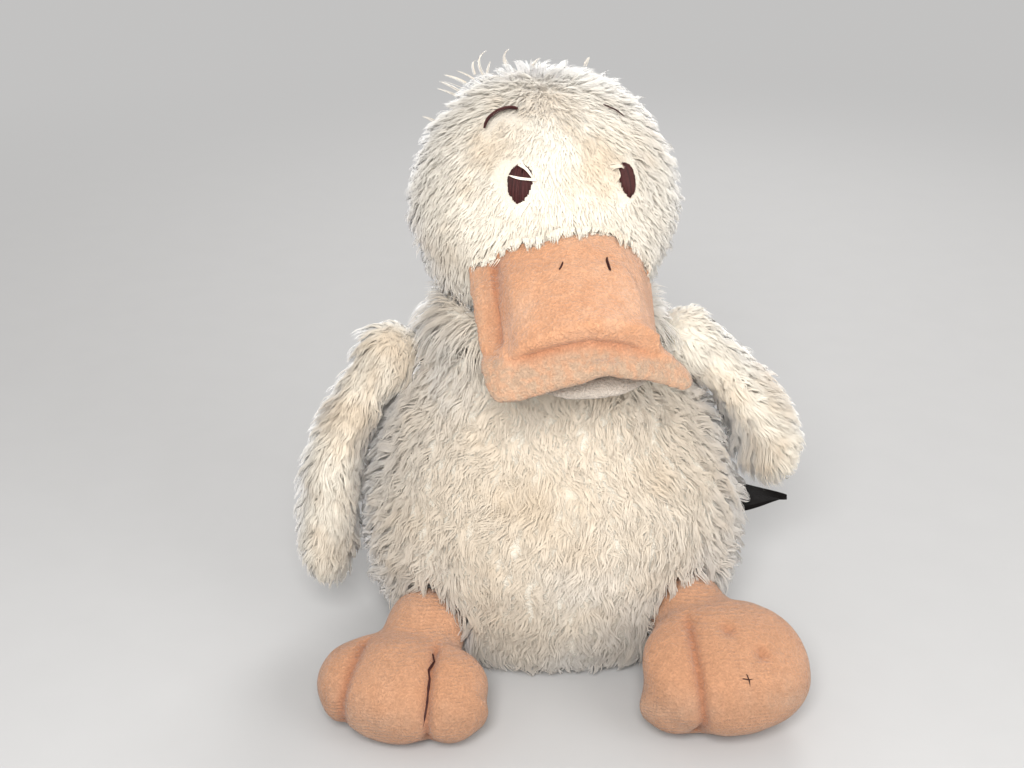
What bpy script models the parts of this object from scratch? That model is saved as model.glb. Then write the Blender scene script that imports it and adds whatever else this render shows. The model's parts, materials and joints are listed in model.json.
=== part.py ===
"""Seated plush duck with a stuffed body, a turning head, two wings, two legs, two feet and a tail.

Metres, +Z up. The duck faces -Y and sits on the origin, which is the middle of its seat panel.
Every stuffed form is a function of a length s, an angle phi and an inset, so that a cover and
the filling inside it come from the same named sizes.
"""

from math import asin, cos, pi, radians, sin, sqrt, tau

import bmesh
import bpy
from mathutils import Euler, Vector

# Clearances
SEAM_GAP = 0.0003
FILL_GAP = 0.0003
SOCKET_CLEARANCE = 0.0004

# Cloth
PLUSH_THICKNESS = 0.0040
LIMB_PLUSH_THICKNESS = 0.0030
VELOUR_THICKNESS = 0.0018
STITCH_THICKNESS = 0.0010

# Body, without the long pile
BODY_HEIGHT = 0.137
BODY_HALF_WIDTH = 0.077
BODY_HALF_DEPTH = 0.066
BODY_LEAN = -0.005
BODY_CORNER_POWER = 2.15
BODY_PROFILE_SHARES = (
    (0.00, 0.66, 0.67),
    (0.05, 0.80, 0.80),
    (0.16, 0.94, 0.93),
    (0.34, 1.00, 1.00),
    (0.54, 0.96, 0.97),
    (0.72, 0.84, 0.87),
    (0.87, 0.71, 0.76),
    (1.00, 0.60, 0.68),
)
HEM_RISE = 0.0006
BODY_STATION_SHARES = (0.11, 0.23, 0.36, 0.49, 0.62, 0.75, 0.88, 1.0)
PELLET_STATIONS = 2
SEAT_THICKNESS = 0.0035
SEAT_INSET = 0.0045

# Head
HEAD_RADIUS = 0.0490
HEAD_CENTRE_SETBACK = -0.002
HEAD_YAW = radians(14)
CHEEK_SWELL_SHARE = 0.025
CROWN_SWELL_SHARE = 0.015
SOCKET_LATITUDE = radians(-16)

# Neck band, whose top edge the head's ball rests in
NECK_RADIUS = 0.0445
NECK_TOP_RADIUS = 0.0370
NECK_GAP = 0.0004
NECK_REACH = HEAD_RADIUS + 2 * SOCKET_CLEARANCE
HEAD_SINK = 0.0020  # how far the head's ball dips below the body's top
HEAD_LIFT = HEAD_RADIUS - HEAD_SINK
HEAD_CENTRE = Vector((BODY_LEAN, HEAD_CENTRE_SETBACK, BODY_HEIGHT + HEAD_LIFT))

# Bill
BILL_LENGTH = 0.0505
BILL_HALF_WIDTH = 0.0335
BILL_ROOT_FORWARD = 0.046
BILL_ROOT_DROP = 0.0125
BILL_PITCH = radians(31)
BILL_SIDE_TURN = radians(-6)
BILL_ROOT_BURIED = 0.020
BILL_CAP = 0.0065
PLATEAU_HALF_WIDTH = 0.0265
PLATEAU_RISE = 0.0090
PLATEAU_SHOULDER = 0.0035
FRONT_SHOULDER = 0.0025
BILL_STATION_SHARES = (-0.12, 0.15, 0.33, 0.50, 0.66)
BILL_TIP_SHARE = 0.89
PLATEAU_CROWN = 0.0050
FRONT_FLANGE = 0.0095
FLANGE_HALF_THICKNESS = 0.0034
BILL_CORNER_DROOP = 0.0085
BILL_FILL_GAP = 0.0007
LOWER_BILL_LENGTH = 0.0430
LOWER_BILL_HALF_WIDTH = 0.0235
LOWER_BILL_HALF_THICKNESS = 0.0036
LOWER_BILL_DROP = 0.0100
LOWER_BILL_CAP = 0.014
LOWER_BILL_HINGE_FORWARD = 0.0035
LOWER_BILL_CLEARANCE = 0.0009

# Face stitching
EYE_HALF_WIDTH = 0.0048
EYE_HALF_HEIGHT = 0.0076
EYE_LATITUDE = radians(23.5)
EYE_LONGITUDE = radians(25)
BROW_LENGTH = 0.0125
BROW_HALF_WIDTH = 0.0008
BROW_LATITUDE = radians(51)
BROW_LONGITUDE = radians(40)
BROW_ARCH = 0.0030
NOSTRIL_LENGTH = 0.0060
NOSTRIL_HALF_WIDTH = 0.0007
NOSTRIL_SPACING = 0.0160
NOSTRIL_SETBACK = 0.0150



def body_place(shares, height):
    """A place by shares of the body's half width and half depth, at a height."""
    return Vector((shares[0] * BODY_HALF_WIDTH, shares[1] * BODY_HALF_DEPTH, height))


# Wings
SHOULDER_BALL_RADIUS = 0.0120
WING_CAP = 0.0120
WING_HALF_THICKNESS = 0.0080
WING_HALF_DEPTH = 0.0150
RIGHT_SHOULDER_SHARES = (-0.831, -0.091)
RIGHT_SHOULDER_DROP = 0.0115
RIGHT_SHOULDER = body_place(RIGHT_SHOULDER_SHARES, BODY_HEIGHT - RIGHT_SHOULDER_DROP)
RIGHT_WING_REACH = Vector((-0.0285, -0.008, -0.0985))
RIGHT_WING_BOW = Vector((-0.0090, -0.001, 0.0085))
LEFT_SHOULDER_SHARES = (0.662, -0.061)
LEFT_SHOULDER_DROP = 0.0055
LEFT_SHOULDER = body_place(LEFT_SHOULDER_SHARES, BODY_HEIGHT - LEFT_SHOULDER_DROP)
LEFT_WING_REACH = Vector((0.0450, 0.010, -0.0640))
LEFT_WING_BOW = Vector((0.0035, 0.000, 0.0060))

# Legs and feet
HIP_BALL_RADIUS = 0.0155
HIP_CLEARANCE = 0.0009
LEG_HALF_WIDTH = 0.0145
LEG_LENGTH = 0.0180
ANKLE_SETBACK = 0.0075
RIGHT_HIP_SHARES = (-0.662, -0.742)
RIGHT_HIP_HEIGHT = 0.0235
RIGHT_HIP = body_place(RIGHT_HIP_SHARES, RIGHT_HIP_HEIGHT)
RIGHT_TOE_OUT = radians(11)
RIGHT_LEG_SLOPE = radians(26)
RIGHT_FOOT_PITCH = radians(3)
LEFT_HIP_SHARES = (0.688, -0.682)
LEFT_HIP_HEIGHT = 0.0280
LEFT_HIP = body_place(LEFT_HIP_SHARES, LEFT_HIP_HEIGHT)
LEFT_TOE_OUT = radians(15)
LEFT_LEG_SLOPE = radians(27)
LEFT_FOOT_PITCH = radians(12)
ANKLE_BALL_RADIUS = 0.0133
ANKLE_WIDEN_START = 0.0040
ANKLE_WIDEN_END = 0.0170
FOOT_LENGTH = 0.0370
FOOT_HALF_WIDTH = 0.0335
FOOT_HALF_THICKNESS = 0.0150
FOOT_CAP = 0.0170
FOOT_CORNER_POWER = 2.3
TOE_GROOVE_DEPTH_SHARE = 0.34
TOE_GROOVE_HALF_WIDTH = 0.0032
TOE_GROOVE_PLACE_SHARES = (-0.62, 0.34)
TOE_STITCH_HALF_WIDTH = 0.0008
TOE_STITCH_LIFT = 0.0014
TOE_STITCH_LENGTH = 0.0190
TOE_STITCH_SETBACK = 0.0135

# Tail
TAIL_BALL_RADIUS = 0.0110
TAIL_ROOT_SHARES = (0.0, 1.03)
TAIL_HEIGHT = 0.0400
TAIL_ROOT = body_place(TAIL_ROOT_SHARES, TAIL_HEIGHT)
TAIL_LENGTH = 0.0250
TAIL_PITCH = radians(38)
TAIL_HALF_WIDTH = 0.0095
TAIL_HALF_THICKNESS = 0.0070
TAIL_TAPER_SHARE = 0.25

# Side label
LABEL_LENGTH = 0.0240
LABEL_WIDTH = 0.0140
RIBBON_THICKNESS = 0.0005
LABEL_FOLD_GAP = 0.0006
LABEL_HEIGHT = 0.0440
LABEL_SETBACK = 0.0140
LABEL_RISE = radians(12)
LABEL_YAW = radians(12)

# Shares of an angle or a size that count as being on a seam, at a pole or a short step along
SEAM_ANGLE = radians(0.01)
POLE_SHARE = 0.001
STEP_SHARE = 0.005

# Mesh counts
ROUND_STEPS = 24
BALL_STEPS = 20
HEAD_SOCKET_STEPS = 32
LIMB_STEPS = 18
TOE_STEPS = 24
CAP_STATIONS = 3
HEAD_STATIONS = 7

WHITE_PLUSH = (0.80, 0.74, 0.66)
PEACH_VELOUR = (0.80, 0.42, 0.25)
STUFFING = (0.85, 0.85, 0.83)
PELLET_CLOTH = (0.60, 0.58, 0.54)
EYE_THREAD = (0.035, 0.012, 0.012)
RIBBON_BLACK = (0.02, 0.02, 0.022)
CLOTH_ROUGHNESS = 0.95
THREAD_ROUGHNESS = 0.55


def clear_scene():
    for item in list(bpy.data.objects):
        bpy.data.objects.remove(item, do_unlink=True)


def material(name, colour, roughness):
    made = bpy.data.materials.new(name)
    made.use_nodes = True
    surface = made.node_tree.nodes["Principled BSDF"]
    surface.inputs["Base Color"].default_value = (*colour, 1.0)
    surface.inputs["Roughness"].default_value = roughness
    surface.inputs["Metallic"].default_value = 0.0
    return made


def axis_empty(name, location, rotation=(0.0, 0.0, 0.0), parent=None):
    """An empty on a joint's axis, which carries the pieces that the joint moves."""
    empty = bpy.data.objects.new(name, None)
    empty.location = location
    empty.rotation_euler = rotation
    empty.parent = parent
    bpy.context.collection.objects.link(empty)
    return empty


def add_object(name, mesh_builder, colour, parent=None, roughness=CLOTH_ROUGHNESS):
    mesh = bpy.data.meshes.new(name)
    bmesh.ops.recalc_face_normals(mesh_builder, faces=mesh_builder.faces)
    mesh_builder.to_mesh(mesh)
    mesh_builder.free()
    mesh.shade_smooth()
    made = bpy.data.objects.new(name, mesh)
    bpy.context.collection.objects.link(made)
    made.parent = parent
    if colour is not None:
        mesh.materials.append(material(name, colour, roughness))
    return made


def add_cutter(name, mesh_builder, parent=None):
    made = add_object(name, mesh_builder, None, parent)
    made.hide_render = True
    made.display_type = "WIRE"
    return made


def cut(piece, cutter):
    boolean = piece.modifiers.new(cutter.name, "BOOLEAN")
    boolean.operation = "DIFFERENCE"
    boolean.solver = "EXACT"
    boolean.object = cutter


def smooth_share(value, low, high):
    t = min(1.0, max(0.0, (value - low) / (high - low)))
    return t * t * (3 - 2 * t)


def curve_through(rows, share):
    """The row at a share of the first column, on a smooth curve through all rows."""
    index = max(i for i in range(len(rows) - 1) if rows[i][0] <= share or i == 0)
    before, start = rows[max(index - 1, 0)], rows[index]
    end, after = rows[index + 1], rows[min(index + 2, len(rows) - 1)]
    span = end[0] - start[0]
    t = min(1.0, max(0.0, (share - start[0]) / span))
    values = []
    for column in range(1, len(start)):
        slope_in = (end[column] - before[column]) / (end[0] - before[0]) * span
        slope_out = (after[column] - start[column]) / (after[0] - start[0]) * span
        values.append(
            (2 * t**3 - 3 * t**2 + 1) * start[column]
            + (t**3 - 2 * t**2 + t) * slope_in
            + (3 * t**2 - 2 * t**3) * end[column]
            + (t**3 - t**2) * slope_out
        )
    return values


def oval(half_width, half_depth, phi, power=2.0):
    """A point of a rounded oval, which a power over 2 makes squarer."""
    c, s = cos(phi), sin(phi)
    x = abs(c) ** (2 / power) * (1 if c >= 0 else -1)
    y = abs(s) ** (2 / power) * (1 if s >= 0 else -1)
    return half_width * x, half_depth * y


def round_end(s, start, end, start_cap, end_cap, inset):
    """How much of its full size a form has at s, where its ends are rounded over a cap length."""
    if start_cap and s < start + start_cap:
        x = (start + start_cap - s) / (start_cap - inset)
        return sqrt(max(0.0, 1 - x * x))
    if end_cap and s > end - end_cap:
        x = (s - end + end_cap) / (end_cap - inset)
        return sqrt(max(0.0, 1 - x * x))
    return 1.0


def stations(start, end, start_cap, end_cap, middle_count, inset=0.0):
    """Lengths at which a form gets a ring, closer together where an end is rounded."""
    values = []
    if start_cap:
        for k in range(CAP_STATIONS):
            values.append(start + start_cap - (start_cap - inset) * cos(k / CAP_STATIONS * pi / 2))
    low, high = start + start_cap, end - end_cap
    for k in range(middle_count + 1):
        values.append(low + (high - low) * k / middle_count)
    if end_cap:
        for k in range(1, CAP_STATIONS + 1):
            values.append(high + (end_cap - inset) * sin(k / CAP_STATIONS * pi / 2))
    return values


def angles(first, last, count):
    return [first + (last - first) * k / count for k in range(count + 1)]


def ring_grid(builder, point, lengths, phis, closed, start_pole, end_pole):
    """Vertices on a form, one row a length, where a pole is one shared vertex."""
    rows = []
    for index, s in enumerate(lengths):
        pole = (start_pole and index == 0) or (end_pole and index == len(lengths) - 1)
        if pole:
            vertex = builder.verts.new(point(s, phis[0]))
            rows.append([vertex] * len(phis))
        else:
            row = [builder.verts.new(point(s, phi)) for phi in (phis[:-1] if closed else phis)]
            rows.append(row + [row[0]] if closed else row)
    return rows


def skin_faces(builder, rows):
    """Triangles between rows, whose diagonals all run the same way so that layers nest."""
    for low, high in zip(rows, rows[1:]):
        for k in range(len(low) - 1):
            for corners in ((low[k], low[k + 1], high[k + 1]), (low[k], high[k + 1], high[k])):
                if len(set(corners)) == 3:
                    builder.faces.new(corners)


def join_edges(builder, first, second):
    for k in range(len(first) - 1):
        corners = []
        for vertex in (first[k], first[k + 1], second[k + 1], second[k]):
            if vertex not in corners:
                corners.append(vertex)
        if len(corners) > 2:
            builder.faces.new(corners)


def cover(form, thickness, first, last, count, middle_count, split_normal=None):
    """A sewn cover of one thickness: a sleeve, a dome or a panel that ends at a seam."""
    closed = abs(last - first - tau) < SEAM_ANGLE
    phis = angles(first, last, count)
    builder = bmesh.new()
    shift = split_normal * (SEAM_GAP / 2) if split_normal else None

    def placed(s, phi, inset):
        p = form.point(s, phi, inset)
        if shift is None:
            return p
        on_seam = min(abs(phi - first), abs(phi - last)) < SEAM_ANGLE
        at_pole = form.is_pole(s, inset)
        return p + shift if on_seam or at_pole else p

    def layer(inset):
        lengths = form.lengths(middle_count, inset)
        return ring_grid(builder, lambda s, phi: placed(s, phi, inset), lengths, phis, closed,
                         bool(form.start_cap), bool(form.end_cap))

    outer, inner = layer(0.0), layer(thickness)
    skin_faces(builder, outer)
    skin_faces(builder, inner)
    if not form.start_cap:
        join_edges(builder, outer[0], inner[0])
    if not form.end_cap:
        join_edges(builder, outer[-1], inner[-1])
    if not closed:
        join_edges(builder, [row[0] for row in outer], [row[0] for row in inner])
        join_edges(builder, [row[-1] for row in outer], [row[-1] for row in inner])
    return builder


def solid(form, inset, count, middle_count):
    """The form as one solid, set in by an inset, as a filling or a cutter."""
    phis = angles(0.0, tau, count)
    builder = bmesh.new()
    lengths = form.lengths(middle_count, inset)
    rows = ring_grid(builder, lambda s, phi: form.point(s, phi, inset), lengths, phis, True,
                     bool(form.start_cap), bool(form.end_cap))
    skin_faces(builder, rows)
    if not form.start_cap:
        builder.faces.new(rows[0][:-1])
    if not form.end_cap:
        builder.faces.new(rows[-1][:-1])
    return builder


def ball(radius, steps=BALL_STEPS):
    builder = bmesh.new()
    bmesh.ops.create_uvsphere(builder, u_segments=steps, v_segments=steps // 2, radius=radius)
    return builder


def ball_root(s, ball_radius, half_size):
    """Half size near a limb's root, which is part of a ball round its joint."""
    return max(half_size, sqrt(max(0.0, ball_radius**2 - s**2)))


class Form:
    """A stuffed form from start to end, whose ends may be rounded over a cap length."""

    start = 0.0
    start_cap = 0.0
    end_cap = 0.0

    def lengths(self, middle_count, inset):
        return stations(self.start, self.end, self.start_cap, self.end_cap, middle_count, inset)

    def fullness(self, s, inset):
        return round_end(s, self.start, self.end, self.start_cap, self.end_cap, inset)

    def is_pole(self, s, inset):
        return bool(self.start_cap or self.end_cap) and self.fullness(s, inset) < POLE_SHARE


class BodyForm(Form):
    """The body stands upright: s is the height."""

    heights = [HEM_RISE, HEM_RISE + SEAT_THICKNESS + FILL_GAP]
    heights += [share * BODY_HEIGHT for share in BODY_STATION_SHARES]
    pellet_top = heights[1 + PELLET_STATIONS]

    def __init__(self, start=HEM_RISE, end=BODY_HEIGHT):
        self.start = start
        self.end = end

    def lengths(self, middle_count, inset):
        between = [height for height in self.heights if self.start + FILL_GAP < height < self.end]
        return [self.start] + between + [self.end]

    def centre_x(self, height):
        return BODY_LEAN * smooth_share(height, BODY_HEIGHT / 3, BODY_HEIGHT)

    def half_sizes(self, height):
        width, depth = curve_through(BODY_PROFILE_SHARES, height / BODY_HEIGHT)
        return BODY_HALF_WIDTH * width, BODY_HALF_DEPTH * depth

    def left_side(self, height, setback):
        """How far out the left side is at a height, a setback behind its widest line."""
        half_width, half_depth = self.half_sizes(height)
        share = (setback / half_depth) ** BODY_CORNER_POWER
        return self.centre_x(height) + half_width * (1 - share) ** (1 / BODY_CORNER_POWER)

    def point(self, s, phi, inset):
        half_width, half_depth = self.half_sizes(s)
        x, y = oval(half_width - inset, half_depth - inset, phi, BODY_CORNER_POWER)
        return Vector((self.centre_x(s) + x, y, s))


class HeadForm(Form):
    """The head is nearly a ball: s runs from the right pole to the left pole as a share of pi."""

    def __init__(self, side):
        self.side = side

    def radius(self, direction):
        latitude = asin(direction.z)
        above = smooth_share(latitude, SOCKET_LATITUDE, 0.0)
        sideways = abs(direction.x)
        swell = CHEEK_SWELL_SHARE * sideways**2 + CROWN_SWELL_SHARE * max(0.0, direction.z) ** 2
        return HEAD_RADIUS * (1 + swell * above)

    def point(self, s, phi, inset):
        bend = (1 - s) * pi / 2
        direction = Vector((self.side * cos(bend), -sin(bend) * cos(phi), sin(bend) * sin(phi)))
        return direction * (self.radius(direction) - inset)


def head_panel(side, thickness):
    """Half of the head's cover, from the middle seam to the side of the head."""
    form = HeadForm(side)
    phis = angles(0.0, tau, ROUND_STEPS)
    lengths = angles(0.0, 1.0, HEAD_STATIONS)
    builder = bmesh.new()
    shift = Vector((side * SEAM_GAP / 2, 0.0, 0.0))

    def layer(inset):
        def placed(s, phi):
            return form.point(s, phi, inset) + (shift if s == 0.0 else Vector())

        return ring_grid(builder, placed, lengths, phis, True, False, True)

    outer, inner = layer(0.0), layer(thickness)
    skin_faces(builder, outer)
    skin_faces(builder, inner)
    join_edges(builder, outer[0], inner[0])
    return builder


def head_solid(inset):
    """The whole head set in by an inset."""
    builder = bmesh.new()
    phis = angles(0.0, tau, ROUND_STEPS)
    rows = []
    for side in (1, -1):
        form = HeadForm(side)
        lengths = angles(0.0, 1.0, HEAD_STATIONS)
        rows.append(ring_grid(builder, lambda s, phi: form.point(s, phi, inset), lengths, phis,
                              True, False, True))
    skin_faces(builder, rows[0])
    skin_faces(builder, rows[1])
    bmesh.ops.remove_doubles(builder, verts=builder.verts, dist=SEAM_GAP / 3)
    return builder


def bill_droop(across, s):
    """How far the bill hangs down beside its middle line, which leaves its front arched."""
    return -BILL_CORNER_DROOP * max(0.0, s) / BILL_LENGTH * (across / BILL_HALF_WIDTH) ** 2


class BillForm(Form):
    """The upper bill: a raised plateau with a soft flange on its sides and front.

    s runs along the bill, phi 0 is the left edge, and 0 to pi is the upper side.
    """

    end_cap = BILL_CAP

    def __init__(self, start=-BILL_ROOT_BURIED, end=BILL_LENGTH):
        self.start = start
        self.end = end

    def top(self, share, s, inset):
        across = abs(share) * BILL_HALF_WIDTH
        from_side = smooth_share(PLATEAU_HALF_WIDTH - across, -PLATEAU_SHOULDER, PLATEAU_SHOULDER)
        from_front = smooth_share(BILL_LENGTH - FRONT_FLANGE - s, -FRONT_SHOULDER, FRONT_SHOULDER)
        crown = PLATEAU_CROWN * (1 - share**2)
        return FLANGE_HALF_THICKNESS - inset + (PLATEAU_RISE + crown) * from_side * from_front

    def point(self, s, phi, inset):
        full = self.fullness(s, inset)
        share = cos(phi)
        edge = abs(sin(phi)) ** (1 / 2)
        if phi <= pi:
            rise = self.top(share, s, inset) * edge * full
        else:
            rise = -(FLANGE_HALF_THICKNESS - inset) * edge * full
        narrowing = 1 - (1 - full) * BILL_CAP / BILL_HALF_WIDTH
        across = (BILL_HALF_WIDTH - inset) * share * narrowing
        return Vector((across, -s, rise + bill_droop(across, s)))


def bill_rows(builder, form, inset):
    """One layer of the bill, closed at its front."""
    lengths = [form.start] + [share * BILL_LENGTH for share in BILL_STATION_SHARES]
    for shoulder in (-FRONT_SHOULDER, 0.0, FRONT_SHOULDER):
        lengths.append(BILL_LENGTH - FRONT_FLANGE + shoulder)
    for k in range(1, CAP_STATIONS + 1):
        share = min(sin(k / CAP_STATIONS * pi / 2), BILL_TIP_SHARE)
        lengths.append(form.end - form.end_cap + (form.end_cap - inset) * share)
    rows = ring_grid(builder, lambda s, phi: form.point(s, phi, inset), lengths,
                     angles(0.0, tau, ROUND_STEPS), True, False, False)
    skin_faces(builder, rows)
    close_mouth(builder, rows[-1])
    return rows


def bill_cover():
    """The bill's cover, whose mouth towards the head is open."""
    builder = bmesh.new()
    outer = bill_rows(builder, BillForm(), 0.0)
    inner = bill_rows(builder, BillForm(), VELOUR_THICKNESS)
    join_edges(builder, outer[0], inner[0])
    return builder


def close_mouth(builder, row):
    """Strip of faces across a flat ring, from its upper half to its lower half."""
    count = len(row) - 1
    half = count // 2
    for k in range(half):
        corners = []
        for vertex in (row[k], row[k + 1], row[(count - k - 1) % count], row[(count - k) % count]):
            if vertex not in corners:
                corners.append(vertex)
        if len(corners) > 2:
            builder.faces.new(corners)


def bill_filling():
    builder = bmesh.new()
    rows = bill_rows(builder, BillForm(), VELOUR_THICKNESS + BILL_FILL_GAP)
    close_mouth(builder, rows[0])
    return builder


class LowerBillForm(Form):
    """The lower bill is a thin tongue under the upper one."""

    end_cap = LOWER_BILL_CAP

    def __init__(self):
        self.start = -BILL_ROOT_BURIED
        self.end = LOWER_BILL_LENGTH

    def point(self, s, phi, inset):
        full = self.fullness(s, inset)
        x, z = oval(LOWER_BILL_HALF_WIDTH - inset, LOWER_BILL_HALF_THICKNESS - inset, phi)
        return Vector((x * full, -s, z * full + bill_droop(x * full, s)))


class LimbForm(Form):
    """A wing: a soft flattened tube on a bowed path from its shoulder to its rounded end."""

    start_cap = SHOULDER_BALL_RADIUS
    end_cap = WING_CAP

    def __init__(self, reach, bow):
        self.reach = reach
        self.bow = bow
        self.start = -SHOULDER_BALL_RADIUS
        self.end = reach.length

    def centre(self, s):
        share = s / self.end
        if s < 0.0:
            return (self.reach + self.bow * 4) * share
        return self.reach * share + self.bow * (4 * share * (1 - share))

    def frame(self, s):
        step = self.end * STEP_SHARE
        place = max(s, 0.0)
        along = (self.centre(place + step) - self.centre(place)).normalized()
        depth = Vector((0.0, 1.0, 0.0))
        side = along.cross(depth).normalized()
        return side, side.cross(along).normalized()

    def half_sizes(self, s):
        if s < 0.0:
            return SHOULDER_BALL_RADIUS, SHOULDER_BALL_RADIUS
        grown = smooth_share(s, SHOULDER_BALL_RADIUS / 2, self.end / 2)
        depth = WING_HALF_THICKNESS + (WING_HALF_DEPTH - WING_HALF_THICKNESS) * grown
        return (ball_root(s, SHOULDER_BALL_RADIUS, WING_HALF_THICKNESS),
                ball_root(s, SHOULDER_BALL_RADIUS, depth))

    def point(self, s, phi, inset):
        full = self.fullness(s, inset)
        thick, depth = self.half_sizes(s)
        a, b = oval((thick - inset) * full, (depth - inset) * full, phi)
        side, deep = self.frame(s)
        return self.centre(s) + side * a + deep * b


class LegForm(Form):
    """A leg: a short tube that runs forward, along -Y of its hip, from a round root."""

    start_cap = HIP_BALL_RADIUS

    def __init__(self):
        self.start = -HIP_BALL_RADIUS
        self.end = LEG_LENGTH - ANKLE_SETBACK

    def point(self, s, phi, inset):
        full = self.fullness(s, inset)
        radius = HIP_BALL_RADIUS if s < 0.0 else ball_root(s, HIP_BALL_RADIUS, LEG_HALF_WIDTH)
        x, z = oval((radius - inset) * full, (radius - inset) * full, phi)
        return Vector((x, -s, z))


class FootForm(Form):
    """A foot: a flat pad that widens from its ankle, with soft grooves between the toes."""

    start_cap = ANKLE_BALL_RADIUS
    end_cap = FOOT_CAP

    def __init__(self, ankle_height, pitch, grooves):
        self.start = -ANKLE_BALL_RADIUS
        self.end = FOOT_LENGTH
        self.ankle_height = ankle_height
        self.pitch = pitch
        self.grooves = grooves

    def half_sizes(self, s):
        widened = smooth_share(s, ANKLE_WIDEN_START, ANKLE_WIDEN_END)
        width = ANKLE_BALL_RADIUS + (FOOT_HALF_WIDTH - ANKLE_BALL_RADIUS) * widened
        thick = ANKLE_BALL_RADIUS + (FOOT_HALF_THICKNESS - ANKLE_BALL_RADIUS) * widened
        return width, thick

    def corner_power(self, s):
        """Round at the ankle's ball, squarer in the pad."""
        widened = smooth_share(s, ANKLE_WIDEN_START, ANKLE_WIDEN_END)
        return 2 + (FOOT_CORNER_POWER - 2) * widened

    def groove(self, across, s):
        """How far the upper side is drawn in by the toe seams."""
        reach = smooth_share(s, 0.0, FOOT_LENGTH - FOOT_CAP / 2)
        drawn = 0.0
        for place in self.grooves:
            away = (across - place * FOOT_HALF_WIDTH) / TOE_GROOVE_HALF_WIDTH
            drawn += TOE_GROOVE_DEPTH_SHARE / (1 + away * away)
        return 1 - reach * min(drawn, TOE_GROOVE_DEPTH_SHARE)

    def point(self, s, phi, inset):
        full = self.fullness(s, inset)
        width, thick = self.half_sizes(s)
        x, z = oval((width - inset) * full, (thick - inset) * full, phi, self.corner_power(s))
        z *= self.groove(x, s)
        lowest = (inset - self.ankle_height + s * sin(self.pitch)) / cos(self.pitch)
        return Vector((x, -s, max(z, lowest)))


class TailForm(Form):
    """A small tail that runs back along +Y of its root and narrows."""

    end_cap = TAIL_HALF_THICKNESS

    def __init__(self):
        self.start = 0.0
        self.end = TAIL_LENGTH

    def point(self, s, phi, inset):
        full = self.fullness(s, inset)
        narrowed = 1 - TAIL_TAPER_SHARE * smooth_share(s, TAIL_BALL_RADIUS, TAIL_LENGTH)
        width = ball_root(s, TAIL_BALL_RADIUS, TAIL_HALF_WIDTH) * narrowed
        thick = ball_root(s, TAIL_BALL_RADIUS, TAIL_HALF_THICKNESS) * narrowed
        x, z = oval((width - inset) * full, (thick - inset) * full, phi)
        return Vector((x, s, z))


def surface_patch(outline, on_surface, thickness, ring_count=2):
    """Closed pad of stitches over a surface, from its middle out to an outline."""
    builder = bmesh.new()

    def layer(rise):
        middle = builder.verts.new(on_surface(0.0, 0.0, rise))
        rows = []
        for ring in range(1, ring_count + 1):
            share = ring / ring_count
            places = [on_surface(u * share, v * share, rise) for u, v in outline]
            rows.append([builder.verts.new(place) for place in places])
        for k in range(len(outline)):
            builder.faces.new((middle, rows[0][k - 1], rows[0][k]))
        for inner, outer in zip(rows, rows[1:]):
            for k in range(len(outline)):
                builder.faces.new((inner[k - 1], outer[k - 1], outer[k], inner[k]))
        return rows[-1]

    low, high = layer(SEAM_GAP), layer(SEAM_GAP + thickness)
    for k in range(len(outline)):
        builder.faces.new((low[k - 1], low[k], high[k], high[k - 1]))
    return builder


def strip(path, half_width, thickness, on_surface):
    """Closed line of stitches along a path of (u, v) points on a surface."""
    builder = bmesh.new()
    rows = []
    for index, (u, v) in enumerate(path):
        before, after = path[max(index - 1, 0)], path[min(index + 1, len(path) - 1)]
        run = Vector((after[0] - before[0], after[1] - before[1])).normalized()
        side_u, side_v = -run.y * half_width, run.x * half_width
        rows.append([
            builder.verts.new(on_surface(u - side_u, v - side_v, SEAM_GAP)),
            builder.verts.new(on_surface(u + side_u, v + side_v, SEAM_GAP)),
            builder.verts.new(on_surface(u + side_u, v + side_v, SEAM_GAP + thickness)),
            builder.verts.new(on_surface(u - side_u, v - side_v, SEAM_GAP + thickness)),
        ])
    for low, high in zip(rows, rows[1:]):
        for k in range(4):
            builder.faces.new((low[k - 1], low[k], high[k], high[k - 1]))
    builder.faces.new(rows[0])
    builder.faces.new(rows[-1])
    return builder


def on_head(side, longitude, latitude):
    """Maps (u, v, rise) near a place of the face onto the head's surface."""
    form = HeadForm(side)

    def place(u, v, rise):
        angle_u = longitude + u / (HEAD_RADIUS * cos(latitude))
        angle_v = latitude + v / HEAD_RADIUS
        direction = Vector((
            side * sin(angle_u) * cos(angle_v),
            -cos(angle_u) * cos(angle_v),
            sin(angle_v),
        ))
        return direction * (form.radius(direction) + rise)

    return place


def make_body(head_socket, sockets):
    body = BodyForm()
    front = add_object(
        "body_front_panel",
        cover(body, PLUSH_THICKNESS, pi, tau, ROUND_STEPS // 2, 0, Vector((0.0, -1.0, 0.0))),
        WHITE_PLUSH,
    )
    panels = [front]
    for name, first, corner in (
        ("body_back_left_panel", 0.0, Vector((1.0, 1.0, 0.0))),
        ("body_back_right_panel", pi / 2, Vector((-1.0, 1.0, 0.0))),
    ):
        panels.append(add_object(name, back_panel(body, first, corner), WHITE_PLUSH))

    inset = PLUSH_THICKNESS + FILL_GAP
    upper = BodyForm(body.pellet_top + FILL_GAP, BODY_HEIGHT)
    filling = add_object("body_filling", solid(upper, inset, ROUND_STEPS, 0), STUFFING)
    lower = BodyForm(body.heights[1], body.pellet_top)
    bag = add_object("pellet_bag", solid(lower, inset, ROUND_STEPS, 0), PELLET_CLOTH)
    make_seat_panel(body)
    for socket in sockets:
        for piece in panels + [filling, bag]:
            cut(piece, socket)
    for piece in panels + [filling]:
        cut(piece, head_socket)


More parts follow.
